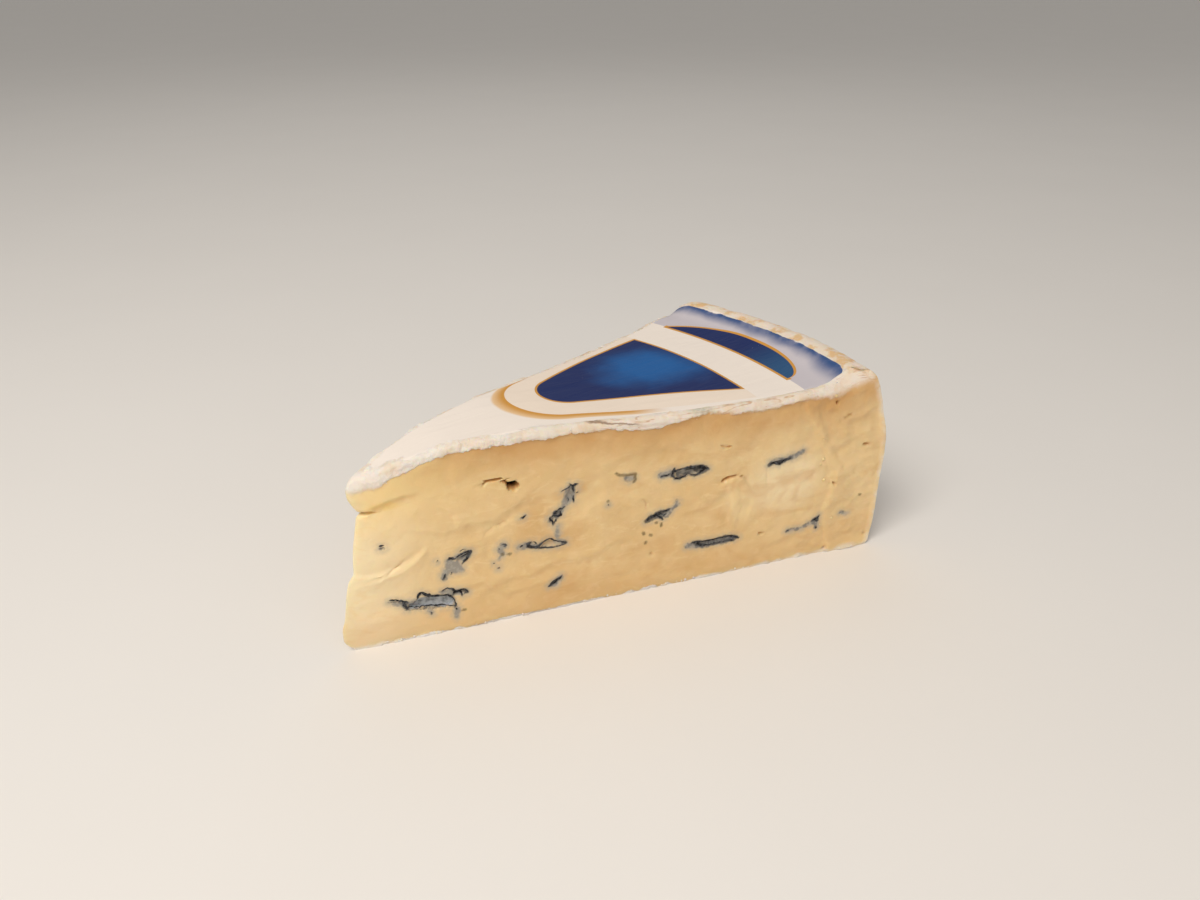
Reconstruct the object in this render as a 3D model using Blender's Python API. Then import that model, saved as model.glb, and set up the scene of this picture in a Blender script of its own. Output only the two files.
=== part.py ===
"""A wedge cut from a wheel of soft blue cheese with a white rind, and the printed label on its top.

The wedge rests on its flat base. +X runs from the thin nose to the rim along the middle of the
wedge, +Z is up, and one cut side faces -Y and the other +Y. All sizes are in metres.
"""

import math

import bmesh
import bpy
import numpy as np

# The wheel that the wedge was cut from.
WHEEL_RADIUS = 0.127
RIM_HEIGHT = 0.0464
NOSE_HEIGHT = 0.0402
WEDGE_ANGLE = math.radians(31.6)

# Crown of the top rind: (distance from the wheel's centre, height). It swells behind the nose,
# sags in the middle and rises to the rim.
CROWN = (
    (0.000, NOSE_HEIGHT),
    (0.008, NOSE_HEIGHT),
    (0.016, 0.0421),
    (0.026, 0.0438),
    (0.038, 0.0443),
    (0.052, 0.0437),
    (0.068, 0.0428),
    (0.084, 0.0424),
    (0.100, 0.0426),
    (0.111, 0.0434),
    (0.119, RIM_HEIGHT),
)

# Barrel-shaped rim: (share of the height, inset from the widest radius).
RIM_PROFILE = (
    (0.000, 0.0036),
    (0.020, 0.0019),
    (0.065, 0.0011),
    (0.200, 0.0007),
    (0.350, 0.0003),
    (0.480, 0.0000),
    (0.600, 0.0004),
    (0.730, 0.0014),
    (0.820, 0.0025),
    (0.890, 0.0036),
    (0.965, 0.0052),
    (0.992, 0.0068),
    (1.000, 0.0090),
)

# Thin edge of the nose: (share of the nose's height, distance of the edge past the wheel's
# centre). The soft foot spreads forwards, and a notch undercuts the slab below the top rind.
NOSE_PROFILE = (
    (0.000, 0.0016),
    (0.035, 0.0003),
    (0.080, -0.0006),
    (0.130, -0.0006),
    (0.200, 0.0002),
    (0.335, 0.0012),
    (0.410, 0.0021),
    (0.450, 0.0033),
    (0.545, 0.0036),
    (0.670, 0.0045),
    (0.750, 0.0055),
    (0.780, 0.0070),
    (0.805, 0.0058),
    (0.850, 0.0046),
    (0.920, 0.0040),
    (0.965, 0.0047),
    (0.988, 0.0060),
    (1.000, 0.0080),
)

EDGE_RADIUS = 0.0012  # of the top edges along both cuts
LEAST_TIP_REACH = 0.0016  # from where the two cuts would meet to the rounded tip
STATIONS = 34  # mesh steps from the nose to the rim
RIM_STEPS = 15  # mesh steps round the rim
NOSE_CROWDING = 1.3  # above 1, the steps are shorter near the nose
LEAST_ROW_STEP = 0.014  # share of the height between two rows of the mesh

# Corners of the wedge at the rim are softer than the middle of the rim.
CORNER_ANGLE = math.radians(5.0)
CORNER_DROP = 0.0012
CORNER_INSET = 0.0012

# The printed label, a thin film on the rind. It is cut flush with the far side and stops a
# little short of the near side.
LABEL_START = 0.013  # from the wheel's centre
LABEL_END = 0.1155
LABEL_NEAR = 0.075  # share of the wedge's width left bare along the near side
LABEL_FAR = 0.985
LABEL_THICKNESS = 0.0003
LABEL_GAP = 0.0003

CHEESE_COLOUR = (0.76, 0.60, 0.33, 1.0)
LABEL_COLOUR = (0.83, 0.79, 0.74, 1.0)


def smooth_step(value):
    """0 below 0, 1 above 1, and a smooth rise in between."""
    value = np.clip(value, 0.0, 1.0)
    return value * value * (3.0 - 2.0 * value)


def curve_through(points):
    """A function whose smooth curve passes through the points and never overshoots them."""
    x, y = np.array(points, float).T
    step = np.diff(x)
    rise = np.diff(y) / step
    slope = np.zeros_like(y)
    same_way = rise[:-1] * rise[1:] > 0
    before = rise[:-1][same_way]
    after = rise[1:][same_way]
    slope[1:-1][same_way] = 2.0 * before * after / (before + after)

    def value_at(where):
        where = np.clip(where, x[0], x[-1])
        k = np.clip(np.searchsorted(x, where, side="right") - 1, 0, len(step) - 1)
        s = (where - x[k]) / step[k]
        return (
            y[k] * (1 + 2 * s) * (1 - s) ** 2
            + slope[k] * step[k] * s * (1 - s) ** 2
            + y[k + 1] * s**2 * (3 - 2 * s)
            + slope[k + 1] * step[k] * s**2 * (s - 1)
        )

    return value_at


crown_height = curve_through(CROWN)
rim_inset = curve_through(RIM_PROFILE)
nose_setback = curve_through(NOSE_PROFILE)


def corner_softness(angle):
    """1 at the two corners of the rim and 0 over the rest of it."""
    return smooth_step(1.0 - (WEDGE_ANGLE / 2 - np.abs(angle)) / CORNER_ANGLE)


def top_height(radius, angle):
    near_rim = smooth_step((radius - 0.108) / 0.011)
    return crown_height(radius) - CORNER_DROP * near_rim * corner_softness(angle)


def rim_radius(share, angle):
    """Distance of the rim from the wheel's centre, at a share of its height."""
    return WHEEL_RADIUS - rim_inset(share) - CORNER_INSET * corner_softness(angle) * share**6


def row_shares():
    """Shares of the height at which the side walls have a row of points."""
    shares = []
    for share in sorted({point[0] for point in NOSE_PROFILE + RIM_PROFILE}):
        if not shares or share - shares[-1] >= LEAST_ROW_STEP:
            shares.append(share)
    shares[-1] = 1.0
    return np.array(shares)


def cut_side(rows, side):
    """Points of one cut side, from the nose to the rim, in columns from the base to the top."""
    half = WEDGE_ANGLE / 2
    along = (np.linspace(0.0, 1.0, STATIONS + 1) ** NOSE_CROWDING)[:, None]
    tip = nose_setback(rows)[None, :]
    corner = rim_radius(rows, side * half)[None, :]
    length = corner * math.cos(half) - tip
    reach = along * length
    x = tip + reach
    tip_reach = np.maximum(tip, LEAST_TIP_REACH)
    spread = np.sqrt(reach**2 + 2 * reach * tip_reach)
    full_spread = np.sqrt(length**2 + 2 * length * tip_reach)
    y = corner * math.sin(half) * spread / full_spread
    edge_angle = np.full((STATIONS + 1, 1), side * half)
    top = top_height(np.hypot(x, y)[:, -1:], edge_angle)
    z = rows[None, :] * top
    rounding = np.clip((z - top + EDGE_RADIUS) / EDGE_RADIUS, 0.0, 1.0)
    inset = EDGE_RADIUS * (1.0 - np.sqrt(1.0 - rounding**2))
    y = np.maximum(y - inset * np.minimum(1.0, y / 0.003), 0.0)
    return np.stack([x, side * y, z], axis=-1)


def rim_side(rows):
    """Points of the rim between the two cut sides, in columns from the base to the top."""
    half = WEDGE_ANGLE / 2
    angle = np.linspace(-half, half, RIM_STEPS + 1)[1:-1, None]
    radius = rim_radius(rows[None, :], angle)
    height = rows[None, :] * top_height(radius[:, -1:], angle)
    return np.stack([radius * np.cos(angle), radius * np.sin(angle), height], axis=-1)


def column_shares():
    """Shares of the wedge's width at which the top has a column of points."""
    return np.concatenate([[0.0], np.linspace(LABEL_NEAR, LABEL_FAR, RIM_STEPS - 1), [1.0]])


def top_points(near, far):
    """Points of the top between the top edges of the two cut sides."""
    radius = np.hypot(near[:, 0], near[:, 1])[:, None]
    near_angle = np.arctan2(near[:, 1], near[:, 0])[:, None]
    far_angle = np.arctan2(far[:, 1], far[:, 0])[:, None]
    angle = near_angle + (far_angle - near_angle) * column_shares()[None, :]
    return np.stack(
        [radius * np.cos(angle), radius * np.sin(angle), top_height(radius, angle)], axis=-1
    )


def new_object(name, mesh_builder, colour, roughness):
    """A named object with its own material, from a function that fills a bmesh."""
    shape = bmesh.new()
    mesh_builder(shape)
    mesh = bpy.data.meshes.new(name)
    shape.to_mesh(mesh)
    shape.free()
    mesh.shade_smooth()
    mesh.set_sharp_from_angle(angle=math.radians(35.0))
    material = bpy.data.materials.new(name)
    material.use_nodes = True
    surface = material.node_tree.nodes["Principled BSDF"]
    surface.inputs["Base Color"].default_value = colour
    surface.inputs["Roughness"].default_value = roughness
    surface.inputs["Metallic"].default_value = 0.0
    mesh.materials.append(material)
    made = bpy.data.objects.new(name, mesh)
    bpy.context.scene.collection.objects.link(made)
    return made


def grid_faces(shape, grid):
    """Four-sided faces between the points of a grid, leaving out any that close to nothing."""
    for row, next_row in zip(grid[:-1], grid[1:]):
        for a, b, c, d in zip(row[:-1], row[1:], next_row[1:], next_row[:-1]):
            corners = list(dict.fromkeys((a, b, c, d)))
            if len(corners) > 2:
                shape.faces.new(corners)


def fill_cheese(shape):
    """The whole wedge, as one closed body with a single flat face below."""
    rows = row_shares()
    near = cut_side(rows, -1)
    far = cut_side(rows, 1)
    rim = rim_side(rows)
    near_points = [[shape.verts.new(p) for p in column] for column in near]
    far_points = [near_points[0]]
    far_points += [[shape.verts.new(p) for p in column] for column in far[1:]]
    rim_points = [[shape.verts.new(p) for p in column] for column in rim]
    ring = near_points + rim_points + far_points[::-1]
    grid_faces(shape, ring)

    top = top_points(near[:, -1], far[:, -1])
    top_grid = []
    for k, line in enumerate(top):
        if k == 0:
            top_grid.append([near_points[0][-1]] * len(line))
        elif k == len(top) - 1:
            edge = [column[-1] for column in rim_points]
            top_grid.append([near_points[k][-1], *edge, far_points[k][-1]])
        else:
            inner = [shape.verts.new(p) for p in line[1:-1]]
            top_grid.append([near_points[k][-1], *inner, far_points[k][-1]])
    grid_faces(shape, top_grid)
    shape.faces.new([column[0] for column in reversed(ring[:-1])])
    bmesh.ops.recalc_face_normals(shape, faces=shape.faces)


def fill_label(shape):
    """The label's film, parallel to the rind below it with a thin gap."""
    rows = row_shares()
    near = cut_side(rows, -1)[:, -1]
    far = cut_side(rows, 1)[:, -1]
    top = top_points(near, far)[:, 1:-1]
    radius = np.hypot(near[:, 0], near[:, 1])
    patch = top[(radius >= LABEL_START) & (radius <= LABEL_END)]
    sheets = []
    for lift in (LABEL_GAP, LABEL_GAP + LABEL_THICKNESS):
        raised = patch + np.array([0.0, 0.0, lift])
        sheets.append([[shape.verts.new(p) for p in line] for line in raised])
        grid_faces(shape, sheets[-1])
    lower, upper = [
        [line[0] for line in sheet]
        + sheet[-1][1:]
        + [line[-1] for line in sheet[-2::-1]]
        + sheet[0][-2:0:-1]
        for sheet in sheets
    ]
    grid_faces(shape, [lower + lower[:1], upper + upper[:1]])
    bmesh.ops.recalc_face_normals(shape, faces=shape.faces)


def centre_on_base(objects, guide):
    """Moves the meshes so that the guide's base is centred on the origin."""
    corners = np.array([vertex.co for vertex in guide.data.vertices])
    middle = (corners.min(axis=0) + corners.max(axis=0)) / 2
    for item in objects:
        for vertex in item.data.vertices:
            vertex.co.x -= middle[0]
            vertex.co.y -= middle[1]


for leftover in list(bpy.data.objects):
    bpy.data.objects.remove(leftover)

cheese = new_object("cheese", fill_cheese, CHEESE_COLOUR, roughness=0.45)
label = new_object("label", fill_label, LABEL_COLOUR, roughness=0.35)
centre_on_base([cheese, label], guide=cheese)
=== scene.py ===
"""The looks of the blue cheese wedge: its paste, veins and rind, its printed label, and the light.

Shapes are worked out in millimetres in the wheel's frame, whose origin is the centre of the wheel
that the wedge was cut from, at the height of its base. They are moved to the CAD frame, in metres,
when a mesh is made. The near cut is the one that faces -Y, and the far cut faces +Y.
"""

import math
import random

import bmesh
import bpy
import numpy as np
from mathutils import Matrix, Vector


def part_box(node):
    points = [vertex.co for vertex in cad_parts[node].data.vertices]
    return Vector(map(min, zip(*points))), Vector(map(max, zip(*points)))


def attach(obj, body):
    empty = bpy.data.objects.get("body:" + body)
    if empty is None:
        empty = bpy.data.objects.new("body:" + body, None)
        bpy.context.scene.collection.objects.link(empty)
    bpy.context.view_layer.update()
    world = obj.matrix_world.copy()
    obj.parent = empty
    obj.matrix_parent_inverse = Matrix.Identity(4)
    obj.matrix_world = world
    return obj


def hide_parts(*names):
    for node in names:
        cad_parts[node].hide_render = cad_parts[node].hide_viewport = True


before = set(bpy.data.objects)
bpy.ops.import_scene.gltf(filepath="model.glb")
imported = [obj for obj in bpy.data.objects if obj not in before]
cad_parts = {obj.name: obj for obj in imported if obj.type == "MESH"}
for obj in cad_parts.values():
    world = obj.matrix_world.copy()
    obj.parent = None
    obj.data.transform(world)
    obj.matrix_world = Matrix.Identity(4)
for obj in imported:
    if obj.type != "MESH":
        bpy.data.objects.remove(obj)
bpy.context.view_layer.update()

MM = 0.001

# ---- The wheel and the wedge, as in the CAD.
WHEEL_RADIUS = 127.0
HALF_ANGLE = math.radians(31.6) / 2
NOSE_HEIGHT = 40.2
RIM_HEIGHT = 46.4

# Crown of the top rind: (distance from the wheel's centre, height).
CROWN = (
    (0, NOSE_HEIGHT), (8, NOSE_HEIGHT), (16, 42.1), (26, 43.8), (38, 44.3), (52, 43.7), (68, 42.8),
    (84, 42.4), (100, 42.6), (111, 43.4), (119, RIM_HEIGHT),
)
# Barrel-shaped rim: (share of the height, inset from the widest radius).
RIM_PROFILE = (
    (0.000, 3.6), (0.020, 1.9), (0.065, 1.1), (0.200, 0.7), (0.350, 0.3), (0.480, 0.0),
    (0.600, 0.4), (0.730, 1.4), (0.820, 2.5), (0.890, 3.6), (0.965, 5.2), (0.992, 6.8),
    (1.000, 9.0),
)
# Thin edge of the nose: (share of the nose's height, distance of the edge past the centre).
NOSE_PROFILE = (
    (0.000, 1.6), (0.035, 0.3), (0.080, -0.6), (0.130, -0.6), (0.200, 0.2), (0.335, 1.2),
    (0.410, 2.1), (0.450, 3.3), (0.545, 3.6), (0.670, 4.5), (0.750, 5.2), (0.790, 5.6),
    (0.830, 4.9), (0.885, 4.0), (0.920, 3.9), (0.965, 4.7), (0.988, 6.0), (1.000, 8.0),
)
NOTCH_SHARE = 0.784  # height of the crack in the nose, as a share of the nose's height
NOTCH_HALF_WIDTH = 0.014
NOTCH_DEPTH = 2.6
NOTCH_BLUNTNESS = 1.6  # how far behind the crack's end the cuts regain their full distance
EDGE_RADIUS = 1.2  # of the top edges along both cuts
CORNER_EDGE_RADIUS = 2.6  # of the same edges where they meet the rim
LEAST_TIP_REACH = 1.6  # from where the two cuts would meet to the rounded tip
CORNER_ANGLE = math.radians(5.0)
CORNER_INSET = 0.5
FAR_CORNER_DROP = 2.2
FAR_CORNER_ANGLE = math.radians(2.8)
NEAR_CREST_RISE = 0.7  # how much higher the crest stands beside the near cut

# ---- Steps of the meshes. The near cut is the finest, and the far cut has half its steps.
STATIONS = 360  # from the nose to the rim
ROWS = 116  # from the base to the top
RIM_STEPS = 108  # round the rim, from the near corner to the far one
RIND_RING = 44  # stations next to the rim where the top has as many steps across as the rim
STATION_CROWDING = 1.08  # above 1, the steps are shorter near the nose
LABEL_STATIONS = 190
LABEL_COLUMNS = 80


def smooth_step(value):
    """0 below 0, 1 above 1, and a smooth rise in between."""
    value = np.clip(value, 0.0, 1.0)
    return value * value * (3.0 - 2.0 * value)


def bell(value, width):
    """1 where the value is 0, fading out on both sides."""
    return np.exp(-((value / width) ** 2))


def distance(points):
    """Distance of each point from the wheel's axis."""
    return np.hypot(points[..., 0], points[..., 1])


def angle_of(points):
    return np.arctan2(points[..., 1], points[..., 0])


def at_angle(radius, angle, height):
    """Points from their distances, angles and heights."""
    return np.stack([radius * np.cos(angle), radius * np.sin(angle), height], axis=-1)


def curve_through(points):
    """A function whose smooth curve passes through the points and never overshoots them."""
    x, y = np.array(points, float).T
    step = np.diff(x)
    rise = np.diff(y) / step
    slope = np.zeros_like(y)
    same_way = rise[:-1] * rise[1:] > 0
    before = rise[:-1][same_way]
    after = rise[1:][same_way]
    slope[1:-1][same_way] = 2.0 * before * after / (before + after)

    def value_at(where):
        where = np.clip(where, x[0], x[-1])
        k = np.clip(np.searchsorted(x, where, side="right") - 1, 0, len(step) - 1)
        s = (where - x[k]) / step[k]
        return (
            y[k] * (1 + 2 * s) * (1 - s) ** 2
            + slope[k] * step[k] * s * (1 - s) ** 2
            + y[k + 1] * s**2 * (3 - 2 * s)
            + slope[k + 1] * step[k] * s**2 * (s - 1)
        )

    return value_at


crown_height = curve_through(CROWN)
rim_inset = curve_through(RIM_PROFILE)
nose_setback = curve_through(NOSE_PROFILE)


def corner_softness(angle, width=CORNER_ANGLE):
    """1 at the two corners of the rim and 0 over the rest of it."""
    return smooth_step(1.0 - (HALF_ANGLE - np.abs(angle)) / width)


def top_height(radius, angle):
    near_rim = smooth_step((radius - 108.0) / 11.0)
    rise = NEAR_CREST_RISE * smooth_step(0.5 - angle / (2.0 * HALF_ANGLE))
    drop = FAR_CORNER_DROP * corner_softness(np.maximum(angle, 0.0), FAR_CORNER_ANGLE)
    return crown_height(radius) + near_rim * (rise - drop)


def rim_radius(share, angle):
    """Distance of the rim from the wheel's centre, at a share of its height."""
    return WHEEL_RADIUS - rim_inset(share) - CORNER_INSET * corner_softness(angle) * share**6


def row_shares():
    """Shares of the height of the rows, closer together next to the base and under the top."""
    share = np.linspace(0.0, 1.0, 400)
    density = 1.0 + smooth_step((share - 0.86) / 0.08) + 0.6 * smooth_step((0.06 - share) / 0.05)
    total = np.concatenate([[0.0], np.cumsum((density[1:] + density[:-1]) / 2)])
    return np.interp(np.linspace(0.0, 1.0, ROWS + 1), total / total[-1], share)


def edge_radius(radius):
    return EDGE_RADIUS + (CORNER_EDGE_RADIUS - EDGE_RADIUS) * smooth_step((radius - 103.0) / 12.0)


def cut_side(rows, side, stations):
    """Points of one cut side, from the nose to the rim, in columns from the base to the top."""
    along = (np.linspace(0.0, 1.0, stations + 1) ** STATION_CROWDING)[:, None]
    smooth_tip = nose_setback(rows)[None, :]
    notch = np.maximum(1.0 - np.abs(rows - NOTCH_SHARE) / NOTCH_HALF_WIDTH, 0.0)[None, :]
    tip = smooth_tip + NOTCH_DEPTH * notch
    corner = rim_radius(rows, side * HALF_ANGLE)[None, :]
    x = tip + along * (corner * math.cos(HALF_ANGLE) - tip)
    length = corner * math.cos(HALF_ANGLE) - smooth_tip
    reach = x - smooth_tip
    tip_reach = np.maximum(smooth_tip, LEAST_TIP_REACH)
    spread = np.sqrt(reach**2 + 2 * reach * tip_reach)
    full_spread = np.sqrt(length**2 + 2 * length * tip_reach)
    y = corner * math.sin(HALF_ANGLE) * spread / full_spread
    y *= np.where(notch > 0.0, np.sqrt(np.clip((x - tip) / NOTCH_BLUNTNESS, 0.0, 1.0)), 1.0)
    edge_angle = np.full((stations + 1, 1), side * HALF_ANGLE)
    top_radius = np.hypot(x, y)[:, -1:]
    top = top_height(top_radius, edge_angle)
    z = rows[None, :] * top
    edge = edge_radius(top_radius)
    rounding = np.clip((z - top + edge) / edge, 0.0, 1.0)
    inset = edge * (1.0 - np.sqrt(1.0 - rounding**2))
    y = np.maximum(y - inset * np.minimum(1.0, y / 3.0), 0.0)
    return np.stack([x, side * y, z], axis=-1)


def rim_side(rows):
    """Points of the rim between the two cut sides, in columns from the base to the top."""
    angle = np.linspace(-HALF_ANGLE, HALF_ANGLE, RIM_STEPS + 1)[1:-1, None]
    radius = rim_radius(rows[None, :], angle)
    height = rows[None, :] * top_height(radius[:, -1:], angle)
    return at_angle(radius, angle, height)


def top_points(near, far, shares):
    """Points of the top between the top edges of the two cut sides, in lines across the wedge."""
    radius = distance(near)[:, None]
    near_angle = angle_of(near)[:, None]
    angle = near_angle + (angle_of(far)[:, None] - near_angle) * shares[None, :]
    return at_angle(radius, angle, top_height(radius, angle))


# ---- Noise and strokes, in millimetres.
def lattice_value(cell, seed):
    """A repeatable value from -1 to 1 for each whole-numbered cell."""
    cell = cell.astype(np.int64).astype(np.uint32)
    mixed = cell[:, 0] * np.uint32(374761393)
    mixed = mixed ^ (cell[:, 1] * np.uint32(668265263))
    mixed = mixed ^ (cell[:, 2] * np.uint32(2246822519))
    mixed = mixed + np.uint32(seed * 40503 + 977)
    mixed = (mixed ^ (mixed >> np.uint32(15))) * np.uint32(2246822519)
    mixed = (mixed ^ (mixed >> np.uint32(13))) * np.uint32(3266489917)
    mixed = mixed ^ (mixed >> np.uint32(16))
    return mixed.astype(float) / 2.0**31 - 1.0


def noise(points, size, seed):
    """Smooth noise from -1 to 1. Its lumps are about as large as size, which may differ by axis."""
    place = points / np.asarray(size, float)
    low = np.floor(place)
    share = place - low
    share = share * share * (3.0 - 2.0 * share)
    total = np.zeros(len(points))
    for corner in np.ndindex(2, 2, 2):
        weight = np.prod(np.where(corner, share, 1.0 - share), axis=1)
        total += weight * lattice_value(low + corner, seed)
    return total


def stroke_distance(place, stroke):
    """Distance from a stroke, whose points are (along, up, half width). It is below 0 inside."""
    nearest = np.full(len(place), 1e3)
    points = np.array(stroke, float)
    if len(points) == 1:
        points = np.concatenate([points, points + 1e-3])
    for start, end in zip(points[:-1], points[1:]):
        line = end[:2] - start[:2]
        share = np.clip((place - start[:2]) @ line / (line @ line), 0.0, 1.0)
        gap = np.linalg.norm(place - start[:2] - share[:, None] * line, axis=1)
        nearest = np.minimum(nearest, gap - start[2] - share * (end[2] - start[2]))
    return nearest


def strokes_distance(place, strokes):
    nearest = np.full(len(place), 1e3)
    for stroke in strokes:
        nearest = np.minimum(nearest, stroke_distance(place, stroke))
    return nearest


def step_along(place, line):
    """(signed distance to the left of a line, distance to it), for points near the line."""
    nearest = np.full(len(place), 1e3)
    side = np.zeros(len(place))
    for start, end in zip(np.array(line[:-1], float), np.array(line[1:], float)):
        way = end - start
        share = np.clip((place - start) @ way / (way @ way), 0.0, 1.0)
        off = place - start - share[:, None] * way
        gap = np.linalg.norm(off, axis=1)
        closer = gap < nearest
        left = (way[0] * off[:, 1] - way[1] * off[:, 0]) / np.linalg.norm(way)
        side = np.where(closer, left, side)
        nearest = np.minimum(nearest, gap)
    return side, nearest


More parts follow.
